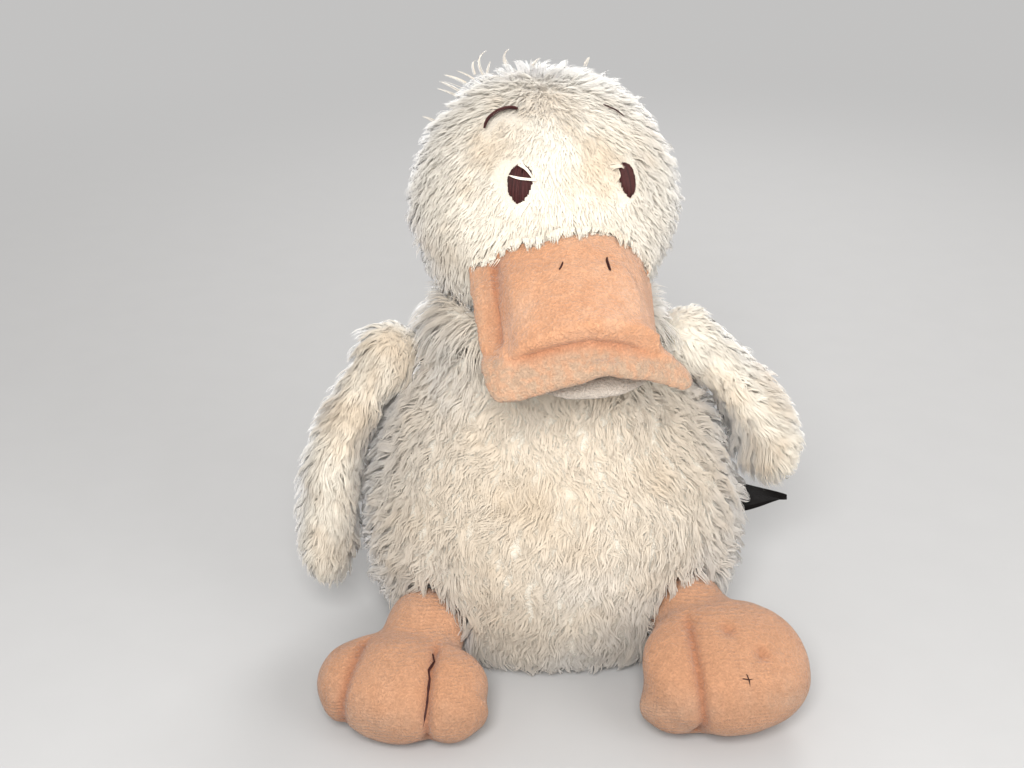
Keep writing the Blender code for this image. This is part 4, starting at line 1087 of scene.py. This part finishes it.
class DUCK_OT_fur(DuckOperator, bpy.types.Operator):
    """Fur on head, body, wings, neck and tail"""

    bl_idname = "duck.fur"
    bl_label = "Fur"

    def execute(self, context):
        settings = self.settings(context)
        fur, colours = settings.fur, settings.colours
        # Painted shade: the body fur takes the darker body cream and more cool shade patches
        warm = fur_finish("head_fur", colours, colours.cream, cool=0.12)
        cool = fur_finish("body_fur", colours, colours.body_cream_and_shade, cool=0.35)
        wing = fur_finish("wing_fur", colours, colours.cream, cool=0.10)
        self.head(fur, warm)
        self.body(fur, cool)
        for side in SIDES:
            self.wing(side, fur, wing)
        self.neck(fur, cool)
        self.tail(fur, wing)
        return {"FINISHED"}

    def head(self, fur, material):
        """Short fur, brushed down and outwards."""
        skin = bpy.data.objects["head_cover"]
        bill = tree_of(bpy.data.objects["bill_top"])
        eyes = eye_centres()
        eyes[1] = eyes[1] - HEAD_SIDE * EYE_SHIFT[0] + UP * EYE_SHIFT[1]
        brows = {side: seen_path(f"eye_{side}", BROWS[side], tree_of(skin)) for side in BROWS}
        brow_room = {"right": 0.0019, "left": 0.0005}

        def keep(roots, facing):
            kept = np.ones(len(roots), dtype=bool)
            for eye in eyes:
                offset = roots - eye
                near = np.linalg.norm(offset, axis=1) < 0.014
                kept &= ~(near & ((offset @ HEAD_SIDE / 0.0053) ** 2 + (offset[:, 2] / 0.0082) ** 2 < 1))
            for side, path in brows.items():
                kept &= distance(roots, path) > brow_room[side]
            near = np.nonzero((roots - HEAD_CENTRE) @ HEAD_FRONT > 0.02)[0]
            kept[near] &= ~inside(bill, roots[near] + facing[near] * 0.0012, facing[near])
            return kept

        def rule(roots, facing, random):
            out = (roots - HEAD_CENTRE) @ HEAD_SIDE
            ahead = -UP[None] + HEAD_SIDE[None] * (out / 0.05)[:, None] * 1.1 + HEAD_FRONT[None] * 0.40
            ahead = brushed(ahead, facing, 0.45 * ripple(roots, 45, 4) + 0.20 * ripple(roots, 120, 18))
            facewards = clamp(-(facing @ VIEW)) ** 0.8
            length = fur.head_length * (1 - 0.15 * facewards + 0.12 * ripple(roots, 60, 17))
            length = length * (0.55 + 0.45 * clamp((distance(roots, eyes) - 0.006) / 0.008))
            brow_away = distance(roots, np.concatenate(list(brows.values())))
            length = length * (0.50 + 0.50 * clamp((brow_away - 0.002) / 0.005))
            fringe = clamp(1 - room(roots, bill) / 0.008)
            crown = clamp((facing[:, 2] - 0.55) * 3) * (1 - facewards)
            length = length * (1 + 0.60 * fringe + 0.25 * crown)
            face = facewards * (1 - fringe)
            lift = 54 - 38 * face + 8 * crown + 8 * fringe
            gather = 0.72 - 0.47 * face + 0.15 * fringe
            return lock_look(ahead, facing, random, length, lift, 0.0005, gather)

        coat = Coat(skin, fur.head_strands, rule, fur, seed=1, keep=keep)
        coat.grow_round("head_fur", HEAD_CENTRE, material, "head")
        for side, eye in zip(("left", "right"), eyes):
            self.eye_tuft(side, eye, tree_of(skin), fur, material)
        self.wisps(fur, material)
        self.fringe(fur, material, tree_of(skin), bill)

    def fringe(self, fur, material, skin, bill):
        """Tufts that hang over the seam at the root of the bill."""
        random = np.random.default_rng(37)
        back, missed = 0.4, 9.0
        columns, row_step = 80, 0.0004
        tuft_step, hairs_in_tuft, overlap = 0.0021, 15, 0.0026

        def depths(x, y):
            start = Vector(x * ACROSS + y * RISING - VIEW * back)
            hits = [tree.ray_cast(start, Vector(VIEW)) for tree in (skin, bill)]
            return [missed if hit[0] is None else hit[3] for hit in hits]

        reach = vertices(bpy.data.objects["bill_top"].data)[:, 0]
        top = HEAD_CENTRE @ RISING + 0.01
        edge = []
        for x in np.linspace(reach.min() + 0.0015, reach.max() - 0.0015, columns):
            for y in np.arange(top, top - 0.06, -row_step):
                head_depth, bill_depth = depths(x, y)
                if bill_depth < head_depth:
                    edge.append((x, y))
                    break
        edge = np.array(edge)
        run = np.append(0.0, np.cumsum(np.linalg.norm(np.diff(edge, axis=0), axis=1)))
        t = HAIR_STEPS
        hairs = []
        for centre in np.arange(0.0008, run[-1], tuft_step):
            centre = centre + random.normal(0, 0.0005)
            drop = random.uniform(0.0006, 0.0030)
            lean = random.normal(0, 0.0009)
            x1, y1 = (np.interp(centre, run, edge[:, k]) for k in range(2))
            for place in centre + random.normal(0, 0.0008, hairs_in_tuft):
                x0, y0 = (np.interp(place, run, edge[:, k]) for k in range(2))
                x = x0 + (0.55 * (x1 - x0) + lean + random.normal(0, 0.0004)) * t**1.4
                y = y0 + overlap + (y1 - drop * random.uniform(0.45, 1.10) - y0 - overlap) * t
                depth = np.array([min(depths(a, b)) for a, b in zip(x, y)])
                nearer = np.minimum.accumulate(np.minimum(depth, 1.0)[::-1])[::-1]
                depth = nearer * 0.5 + depth * 0.5 - back - 0.0008 - 0.0020 * np.sin(clamp(t * 1.15) * pi)
                hairs.append(x[:, None] * ACROSS + y[:, None] * RISING + depth[:, None] * VIEW)
        paths = np.array([hair for hair in hairs if np.ptp(hair @ VIEW) < 0.012])
        facing = UP * 0.75 - VIEW * 0.55
        self.hairs("bill_fringe", paths, facing, random, fur, material, thin=0.7, spread=0.30, mixed=True)

    def eye_tuft(self, side, eye, tree, fur, material):
        """Long hairs that fall across the upper part of an eye and taper to a point."""
        random = np.random.default_rng(11 if side == "left" else 12)
        out, across, up = eye_frame(eye)
        t = HAIR_STEPS[None]
        paths = []
        for first, last, bow, count, spread in EYE_TUFTS[side]:
            offset = random.uniform(-1, 1, (count, 1)) * spread * (1 - 0.75 * t)
            reach = np.minimum(t * random.uniform(0.88, 1.06, (count, 1)), 1)
            x = first[0] + (last[0] - first[0]) * reach
            y = first[1] + (last[1] - first[1]) * reach + bow * np.sin(reach * pi) + offset
            path, _ = laid_on(eye + x[..., None] * across + y[..., None] * up, tree, 0.0)
            rise = 0.0012 + 0.0014 * np.sin(clamp(reach * 1.2) * pi)
            rise = rise + random.uniform(0, 0.0004, (count, 1))
            paths.append(path + out * rise[..., None])
        self.hairs(f"eye_{side}_hairs", np.concatenate(paths), out, random, fur, material, thin=0.6)

    def wisps(self, fur, material):
        """Stray curls that stand up from the crown, seen in outline."""
        random = np.random.default_rng(31)
        t = HAIR_STEPS
        paths = []
        for places in CROWN_WISPS:
            x, y = smooth_curve(places, len(t), 2, even=True).T
            path = HEAD_CENTRE + x[:, None] * ACROSS + y[:, None] * RISING
            paths.append(path[None] + random.normal(0, 0.00042, (7, 1, 3)) * (1 - 0.75 * t)[None, :, None])
        paths = np.concatenate(paths)
        self.hairs("crown_wisps", paths, UP - VIEW * 0.25, random, fur, material, thin=0.5, spread=0.30)

    def hairs(self, name, paths, facing, random, fur, material, thin, spread=0.0, mixed=False):
        """Loose thin hairs on the head as one piece, which face one way with some spread."""
        count = len(paths)
        widths = fur.strand_width * thin * HAIR_TAPER[None] * np.ones((count, 1))
        marks = {"strand": random.random(count), "lock": random.random(count) if mixed else np.ones(count)}
        facing = unit(facing + random.normal(0, spread, (count, 3)))
        finish_piece(strand_mesh(name, paths, facing, widths, marks), material, "head")

    def body(self, fur, material):
        """Wavy locks that fall down the body in swirls."""
        skin = bpy.data.objects["body_cover"]
        wings = [tree_of(bpy.data.objects[f"wing_{side}_cover"]) for side in SIDES]
        legs = [tree_of(bpy.data.objects[f"leg_{side}_velour"]) for side in SIDES]

        def keep(roots, facing):
            kept = (facing[:, 2] > -0.75) & (roots[:, 2] > 0.004)
            for tree in wings + legs:
                left = np.nonzero(kept)[0]
                kept[left] = ~inside(tree, roots[left] + facing[left] * 0.0006, facing[left])
            return kept

        def rule(roots, facing, random):
            ahead = brushed(-UP, facing, ripple(roots, 30, 5) + 0.75 * ripple(roots, 95, 6))
            front = clamp(-facing[:, 1]) ** 0.7
            low = clamp(1 - roots[:, 2] / 0.02)
            hips = clamp(np.abs(facing[:, 0]) * 1.5 - 0.3) * clamp(1.6 - roots[:, 2] / 0.045)
            length = fur.body_length * (1 + 0.2 * ripple(roots, 40, 7)) * (1 - 0.45 * low) * (1 + 0.30 * hips)
            lift = 52 - 32 * front + 8 * ripple(roots, 50, 8)
            gather = 0.86 - 0.30 * front
            for tree in legs:
                hem = clamp(1 - room(roots, tree) / 0.012)
                length = length * (1 + 0.35 * hem)
                gather = gather + (0.92 - gather) * hem
            for tree in wings:
                lift = lift * np.clip(room(roots, tree) / 0.008, 0.25, 1)
            return lock_look(ahead, facing, random, length, lift, 0.0016, gather, turns=WAVY)

        coat = Coat(skin, fur.body_strands, rule, fur, seed=2, keep=keep)
        coat.grow_round("body_fur", np.zeros(3), material, "torso")

    def wing(self, side, fur, material):
        """Long locks that run along the wing and splay at its edge and tip."""
        skin = bpy.data.objects[f"wing_{side}_cover"]
        shoulder = pivot(f"{side}_wing_lift")
        points = vertices(skin.data)
        tip = points[np.argmax(np.linalg.norm(points - shoulder, axis=1))]
        along = unit(tip - shoulder)
        inwards = np.array((1.0 if side == "right" else -1.0, 0.0, 0.0))
        spread = 0.1 if side == "right" else 0.75

        def rule(roots, facing, random):
            share = clamp((roots - shoulder) @ along / np.linalg.norm(tip - shoulder))
            ahead = brushed(along, facing, 0.5 * ripple(roots, 40, 9) + 0.3 * ripple(roots, 110, 10))
            length = fur.wing_length * (0.85 + 0.25 * ripple(roots, 45, 11)) * (1 - 0.35 * share**4)
            front = clamp(-facing[:, 1])
            lift = 32 - 12 * front + 6 * ripple(roots, 60, 12)
            inner = clamp(facing @ inwards * 1.6 + 0.2) * clamp((share - 0.40) / 0.25)
            ahead = flat_on(ahead + spread * inner[:, None] * (0.5 * inwards - 0.9 * UP), facing)
            cap = clamp(-(facing @ along) * 1.4 - 0.4)
            length = length * (1 + spread * inner) * (1 - 0.55 * cap)
            lift = (lift + 22 * spread * inner) * (1 - 0.5 * cap)
            gather = 0.85 - 0.25 * front
            return lock_look(ahead, facing, random, length, lift, 0.0011, gather, turns=WAVY)

        coat = Coat(skin, fur.wing_strands, rule, fur, seed=3 if side == "right" else 4)
        coat.grow_round(f"wing_{side}_fur", shoulder, material, f"{side}_wing")

    def neck(self, fur, material):
        """Fur that fills the fold between head and body."""
        skin = bpy.data.objects["neck_cover"]

        def rule(roots, facing, random):
            ahead = brushed(-UP, facing, 0.7 * ripple(roots, 50, 14))
            height = roots[:, 2]
            low = clamp((height.max() - height) / np.ptp(height) * 1.6 - 0.3)
            length = fur.body_length * (1.25 + 0.75 * low)
            return lock_look(ahead, facing, random, length, 40.0 - 20.0 * low, wave=0.0012, gather=0.6)

        def keep(roots, facing):
            out = np.linalg.norm(roots[:, :2] - HEAD_CENTRE[:2], axis=1)
            return (out > 0.029) & (facing[:, 2] > -0.6)

        coat = Coat(skin, fur.neck_strands, rule, fur, seed=6, keep=keep)
        coat.grow("neck_fur", np.arange(len(coat.roots)), material, "neck")

    def tail(self, fur, material):
        """Short fur that runs to the tail's tip."""
        skin = bpy.data.objects["tail_skin"]
        root = pivot("tail_wag")
        ahead = np.array((0.0, 1.0, 0.55))

        def rule(roots, facing, random):
            length = fur.body_length * 0.9
            return lock_look(ahead, facing, random, length, 32.0, wave=0.0008, gather=0.8)

        def keep(roots, facing):
            return roots[:, 1] > root[1] - 0.004

        coat = Coat(skin, fur.tail_strands, rule, fur, seed=5, keep=keep)
        coat.grow("tail_fur", np.arange(len(coat.roots)), material, "tail")


HAIR_STEPS = np.linspace(0, 1, 7)
HAIR_TAPER = np.array([0.9, 1.0, 1.0, 0.9, 0.7, 0.45])

# How far the right eye's embroidery lies from its CAD solid: outwards and up
EYE_SHIFT = (0.0013, 0.0018)

# Places across and up, from the middle of the eye or nostril
BROWS = {
    "right": (
        (-0.0117, 0.0205),
        (-0.0106, 0.0234),
        (-0.0090, 0.0253),
        (-0.0063, 0.0271),
        (-0.0039, 0.0275),
        (-0.0018, 0.0271),
        (-0.0007, 0.0264),
    ),
    "left": ((-0.0091, 0.0266), (-0.0069, 0.0257), (-0.0046, 0.0248), (-0.0015, 0.0225)),
}
NOSTRILS = {
    "right": ((-0.0010, 0.0060), (-0.0014, 0.0048), (-0.0019, 0.0038), (-0.0024, 0.0030)),
    "left": ((-0.0017, 0.0067), (-0.0016, 0.0050), (-0.0012, 0.0033), (-0.0007, 0.0017)),
}
# Places across and up, from the middle of the head
CROWN_WISPS = (
    ((-0.0226, 0.0476), (-0.0243, 0.0514), (-0.0243, 0.0552), (-0.0214, 0.0572)),
    ((-0.0135, 0.0514), (-0.0148, 0.0540), (-0.0146, 0.0563), (-0.0129, 0.0582)),
    ((-0.0260, 0.0484), (-0.0269, 0.0514), (-0.0267, 0.0529), (-0.0256, 0.0535)),
    ((-0.0214, 0.0480), (-0.0211, 0.0506), (-0.0201, 0.0533)),
    ((-0.0263, 0.0465), (-0.0297, 0.0486), (-0.0331, 0.0497)),
    ((-0.0290, 0.0446), (-0.0335, 0.0469), (-0.0377, 0.0480)),
    ((-0.0316, 0.0423), (-0.0358, 0.0444), (-0.0394, 0.0457)),
    ((-0.0335, 0.0401), (-0.0373, 0.0418), (-0.0405, 0.0429)),
    ((-0.0407, 0.0303), (-0.0433, 0.0316), (-0.0460, 0.0325)),
    ((-0.0041, 0.0514), (-0.0026, 0.0537), (-0.0011, 0.0544)),
    ((0.0156, 0.0514), (0.0167, 0.0537), (0.0174, 0.0548)),
)
# Each tuft's first and last place from the eye's middle, bow, number of hairs and spread
EYE_TUFTS = {
    "right": (
        ((0.0064, 0.0012), (-0.0050, 0.0024), -0.0006, 8, 0.00060),
        ((-0.0010, 0.0086), (0.0058, 0.0008), 0.0010, 14, 0.00130),
    ),
    "left": (
        ((-0.0062, 0.0062), (0.0006, 0.0036), 0.0010, 14, 0.00150),
        ((-0.0050, 0.0006), (-0.0026, 0.0052), -0.0006, 8, 0.00070),
    ),
}


def smooth_curve(places, count, degree, even=False):
    """A smooth curve through rows of places. Even: at even steps between them first."""
    places = np.array(places)
    t = np.linspace(0, 1, len(places))
    if even:
        steps = np.linspace(0, 1, count)
        places = np.stack([np.interp(steps, t, column) for column in places.T], axis=1)
        t = steps
    curve = [np.polyval(np.polyfit(t, column, degree), np.linspace(0, 1, count)) for column in places.T]
    return np.stack(curve, axis=1)


def seen_path(node, places, tree, count=13):
    """A smooth path on a skin. Its places are across and above a node, seen from the front."""
    starts = [centre_of(node) + ACROSS * x + RISING * y - VIEW * 0.1 for x, y in places]
    return smooth_curve([tree.ray_cast(start, VIEW)[0] for start in starts], count, 3)


def eye_frame(centre):
    """The directions out of the head at an eye, across it and up."""
    out = unit(centre - HEAD_CENTRE)
    across = unit(np.cross(UP, out))
    return out, across, np.cross(out, across)


def laid_on(paths, tree, rise):
    """Paths laid on a skin, at a height above it, and the skin's normals there."""
    places, facing = np.empty_like(paths), np.empty_like(paths)
    for index in np.ndindex(paths.shape[:2]):
        place, normal, _, _ = tree.find_nearest(paths[index])
        places[index], facing[index] = place, normal
    return places + facing * rise, facing


def foot_path(side, places):
    """A path on a foot. Its places are across the foot and down its slope, from the ankle."""
    ankle, across, forward = foot_frame(side)
    slope, over = (forward - UP) / 2**0.5, (forward + UP) / 2**0.5
    foot = tree_of(bpy.data.objects[f"leg_{side}_velour"])
    path, facing = [], []
    for x, down in places:
        place, normal, _, _ = foot.ray_cast(ankle + across * x + slope * down + over * 0.08, -over)
        if place is None:
            raise ValueError(f"A stitch of the {side} foot lies beside the foot")
        path.append(place + normal * 0.00015)
        facing.append(normal)
    return np.array(path), unit(np.mean(facing, axis=0))


# Each stitch's piece, foot, places across the foot and down its slope, number of threads and width
FOOT_STITCHES = (
    ("toe_stitch_thread", "right", (
        (0.0090, -0.0040), (0.0103, -0.0010), (0.0095, 0.0027), (0.0104, 0.0060),
        (0.0109, 0.0089), (0.0113, 0.0149), (0.0112, 0.0200), (0.0110, 0.0235),
    ), 3, 0.00085),
    ("tack_long_thread", "left", ((0.0040, 0.0140), (0.0042, 0.0163), (0.0040, 0.0185)), 2, 0.0005),
    ("tack_cross_thread", "left", ((0.0022, 0.0152), (0.0042, 0.0160), (0.0066, 0.0159)), 1, 0.0005),
)


class DUCK_OT_embroidery(DuckOperator, bpy.types.Operator):
    """Embroidered eyes, eyebrows, nostrils and toe stitches"""

    bl_idname = "duck.embroidery"
    bl_label = "Embroidery"

    EYE_STITCHES = 21
    STEPS = 9
    # Each eye's half width, share of the full height and shift across
    EYES = {"right": (0.0045, 1.0, 0.0), "left": (0.0036, 0.90, 0.0009)}
    # Each line's height above the skin, number of threads and their spread
    BROW_LINES = {"right": (0.0030, 5, 0.0015), "left": (0.0019, 2, 0.0003)}
    NOSTRIL_LINES = {"right": (0.0001, 2, 0.0002), "left": (0.0001, 3, 0.0006)}

    def execute(self, context):
        thread = thread_finish(self.settings(context).colours)
        head = tree_of(bpy.data.objects["head_cover"])
        bill = tree_of(bpy.data.objects["bill_top"])
        for side in ("left", "right"):
            self.eye(side, head, thread)
            path = seen_path(f"eye_{side}", BROWS[side], head)
            self.line(f"eyebrow_{side}", path, head, thread, *self.BROW_LINES[side])
            path = seen_path(f"nostril_{side}", NOSTRILS[side], bill, 7)
            self.line(f"nostril_{side}", path, bill, thread, *self.NOSTRIL_LINES[side])
        self.toe_stitch(thread)
        return {"FINISHED"}

    def toe_stitch(self, material):
        """Dark thread in the toe groove of one foot, and a tack on the other."""
        random = np.random.default_rng(21)
        for name, side, places, count, width in FOOT_STITCHES:
            path, facing = foot_path(side, places)
            paths = path[None] + random.normal(0, 0.00012, (count, *path.shape))
            piece = self.threads(name, paths, np.tile(facing, (count, 1)), width, material, f"{side}_foot")
            if name == "toe_stitch_thread":
                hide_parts("toe_stitch_right_foot")

    def threads(self, name, paths, facing, width, material, body):
        """Threads laid side by side as one piece."""
        count, steps = paths.shape[:2]
        random = np.random.default_rng(len(name))
        widths = width * np.append(0.8, np.ones(steps - 2))[None] * random.uniform(0.85, 1.15, (count, 1))
        marks = {"strand": random.random(count), "lock": random.random(count)}
        piece = strand_mesh(name, paths, facing, widths, marks, softness=0.25)
        finish_piece(piece, material, body)
        return piece

    def eye(self, side, head, material):
        """Satin stitches from an eye's round top to its pointed bottom."""
        node = f"eye_{side}"
        centre = centre_of(node)
        out, across, up = eye_frame(centre)
        if side == "right":
            centre = centre - across * EYE_SHIFT[0] + up * EYE_SHIFT[1]
        random = np.random.default_rng(3)
        shares = np.linspace(-0.97, 0.97, self.EYE_STITCHES)
        t = np.linspace(0, 1, self.STEPS)
        half, tall, shift = self.EYES[side]
        top = 0.0078 * tall * (1 - np.abs(shares) ** 2.4) ** 0.5 + random.normal(0, 0.00015, len(shares))
        point = 0.0014 * clamp(1 - np.abs(shares) / 0.5)
        bottom = -tall * (0.0066 * (1 - np.abs(shares) ** 3) ** 0.8 + point)
        bottom = bottom + random.normal(0, 0.0002, len(shares))
        height = bottom[:, None] + (top - bottom)[:, None] * t[None]
        x = shares[:, None] * half + 0.04 * height + shift
        paths, _ = laid_on(centre + x[..., None] * across + height[..., None] * up, head, 0.0)
        crown = 0.0004 + 0.0013 * (4 * t * (1 - t))[None] ** 0.5 * np.sqrt(1 - shares**2)[:, None]
        paths = paths + out * crown[..., None]
        paths = np.concatenate([paths - out * 0.0004 + across * 0.00024, paths])
        facing = np.tile(out, (len(paths), 1))
        piece = self.threads(f"eye_{side}_stitching", paths, facing, 0.00066, material, "head")
        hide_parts(node)

    def line(self, node, middle, tree, material, rise, count, spread):
        """A few threads laid side by side along a path, for a node of the head."""
        path, facing = laid_on(middle[None], tree, rise)
        ahead = unit(np.gradient(path[0], axis=0))
        side = np.cross(facing[0], ahead)
        t = np.linspace(0, 1, len(middle))
        shares = np.linspace(-0.5, 0.5, count)
        swell = np.sqrt(np.clip(4 * t * (1 - t), 0.04, 1))
        paths = path + side[None] * (shares[:, None] * swell[None] * spread)[..., None]
        paths = paths + facing * 0.0003 * np.cos(shares * pi)[:, None, None]
        normal = np.tile(unit(facing[0].mean(axis=0)), (count, 1))
        piece = self.threads(f"{node}_thread", paths, normal, 0.00055, material, "head")
        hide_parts(node)


class DUCK_OT_label(DuckOperator, bpy.types.Operator):
    """Folded side label"""

    bl_idname = "duck.label"
    bl_label = "Side label"

    def execute(self, context):
        low, high = (np.array(corner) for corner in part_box("side_label"))
        middle = (low + high) / 2
        width = high[1] - low[1] - 0.004
        reach = high[0] - low[0] + 0.003
        points, faces = [], []
        columns, rows = np.linspace(-0.5, 0.5, 13), np.linspace(0, 1, 41)
        for t in rows:
            out = 1 - 2 * abs(t - 0.5)
            gap = (1 if t < 0.5 else -1) * 0.0008 * max(1 - out**8, 0) ** 0.5
            taper = 1 - 0.93 * out**1.8
            for share in columns:
                wave = 0.0010 * sin(share * 5 + out * 5) * out
                y = middle[1] + (share * taper + 0.06 * out) * width
                sag = -0.0010 * out**2 + 0.0060 * share * taper
                points.append((low[0] - 0.002 + out * reach, y, middle[2] + gap * taper + sag + wave))
        across = len(columns)
        for corner in range(across * (len(rows) - 1)):
            if (corner + 1) % across:
                faces.append((corner, corner + 1, corner + across + 1, corner + across))
        mesh = bpy.data.meshes.new("side_ribbon")
        mesh.from_pydata(points, [], faces)
        piece = add_object("side_ribbon", mesh)
        apply_modifier(piece, "SOLIDIFY", thickness=0.00030, offset=0.0)
        shade_smooth(piece)
        finish_piece(piece, ribbon_finish(self.settings(context).colours), "torso")
        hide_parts("side_label")
        return {"FINISHED"}


class DUCK_OT_stage(DuckOperator, bpy.types.Operator):
    """Floor, light and camera"""

    bl_idname = "duck.stage"
    bl_label = "Floor, light and camera"

    # Each lamp's place, size and power
    LAMPS = (
        ("key", (-0.07, -0.62, 0.54), 0.30, 5.3),
        ("fill", (0.70, -0.65, 0.45), 0.70, 3.6),
        ("back", (0.25, 0.90, 0.80), 0.70, 6.0),
    )

    SKY = (0.975, 0.965, 0.955)
    SKY_STRENGTH = 0.56
    MIDDLE = (0, 0, 0.1)
    TARGET = Vector((-0.017, -0.010, 0.112))

    def execute(self, context):
        settings = self.settings(context).stage
        bpy.ops.object.select_all(action="DESELECT")
        bpy.ops.mesh.primitive_plane_add(size=8, location=(0, 0, 0))
        floor = context.object
        floor.name = "floor"
        floor.data.materials.append(self.paper(settings.floor))
        for name, place, size, power in self.LAMPS:
            data = bpy.data.lights.new(f"{name}_lamp", "AREA")
            data.shape = "DISK"
            data.size = size
            data.energy = power
            self.aim(add_object(f"{name}_lamp", data), place, self.MIDDLE)
        world = bpy.data.worlds.new("studio")
        world.use_nodes = True
        shade = world.node_tree.nodes["Background"]
        shade.inputs["Color"].default_value = (*self.SKY, 1)
        shade.inputs["Strength"].default_value = self.SKY_STRENGTH
        context.scene.world = world
        context.scene.view_settings.view_transform = "Standard"
        self.camera(context, settings.camera_distance)
        return {"FINISHED"}

    def paper(self, shade):
        """Plain paper that fades to an even tone far from the duck."""
        finish = Finish("floor_paper", 0.9, Specular_IOR_Level=0.1)
        finish.paint(shade, 0.98 + 0.04 * finish.clouds(40, 3))
        settings = {"operation": "LENGTH"}
        reach = finish.node("ShaderNodeVectorMath", settings, {"Vector": finish.place()}, output="Value")
        seen = finish.node("ShaderNodeLightPath", output="Is Camera Ray")
        even = finish.node("ShaderNodeEmission", inputs={"Color": shade, "Strength": 1.02})
        share = finish.step(reach, 0.30, 1.10) * seen
        lit = Socket(finish, finish.shader.outputs[0])
        mixed = finish.node("ShaderNodeMixShader", inputs={0: share, 1: lit, 2: even})
        finish.connect(finish.tree.nodes["Material Output"].inputs["Surface"], mixed)
        return finish.material

    def camera(self, context, distance):
        """A camera at the photograph's viewing angle."""
        data = bpy.data.cameras.new("camera")
        data.lens = 50
        data.sensor_width = 36
        data.clip_start = 0.01
        camera = add_object("camera", data)
        context.scene.camera = self.aim(camera, self.TARGET - distance * Vector(VIEW), self.TARGET)

    def aim(self, item, place, target):
        """Puts a lamp or camera in place and turns it to a point."""
        item.location = place
        item.rotation_euler = (Vector(target) - Vector(place)).to_track_quat("-Z", "Y").to_euler()
        return item


STEPS = (
    DUCK_OT_stage,
    DUCK_OT_body,
    DUCK_OT_head,
    DUCK_OT_bill,
    DUCK_OT_wings,
    DUCK_OT_legs,
    DUCK_OT_tail,
    DUCK_OT_embroidery,
    DUCK_OT_label,
    DUCK_OT_fur,
)


class DUCK_PT_panel(bpy.types.Panel):
    """Lists the duck's settings and steps"""

    bl_idname = "DUCK_PT_panel"
    bl_label = "Plush Duck"
    bl_space_type = "VIEW_3D"
    bl_region_type = "UI"
    bl_category = "Duck"

    def draw(self, context):
        settings = context.scene.plush_duck
        for group in (settings.fur, settings.colours, settings.stage):
            box = self.layout.box()
            for name in group.__annotations__:
                box.prop(group, name)
        for step in STEPS:
            self.layout.operator(step.bl_idname)


CLASSES = (FurSettings, ColourSettings, StageSettings, DuckSettings, *STEPS, DUCK_PT_panel)


def register():
    """Adds the duck's classes and settings to Blender."""
    for item in CLASSES:
        bpy.utils.register_class(item)
    bpy.types.Scene.plush_duck = PointerProperty(type=DuckSettings)


def unregister():
    """Removes the duck's classes and settings."""
    del bpy.types.Scene.plush_duck
    for item in reversed(CLASSES):
        bpy.utils.unregister_class(item)


def main():
    """Builds the duck."""
    register()
    for step in STEPS:
        group, name = step.bl_idname.split(".")
        getattr(getattr(bpy.ops, group), name)()
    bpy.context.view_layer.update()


if __name__ == "__main__":
    main()
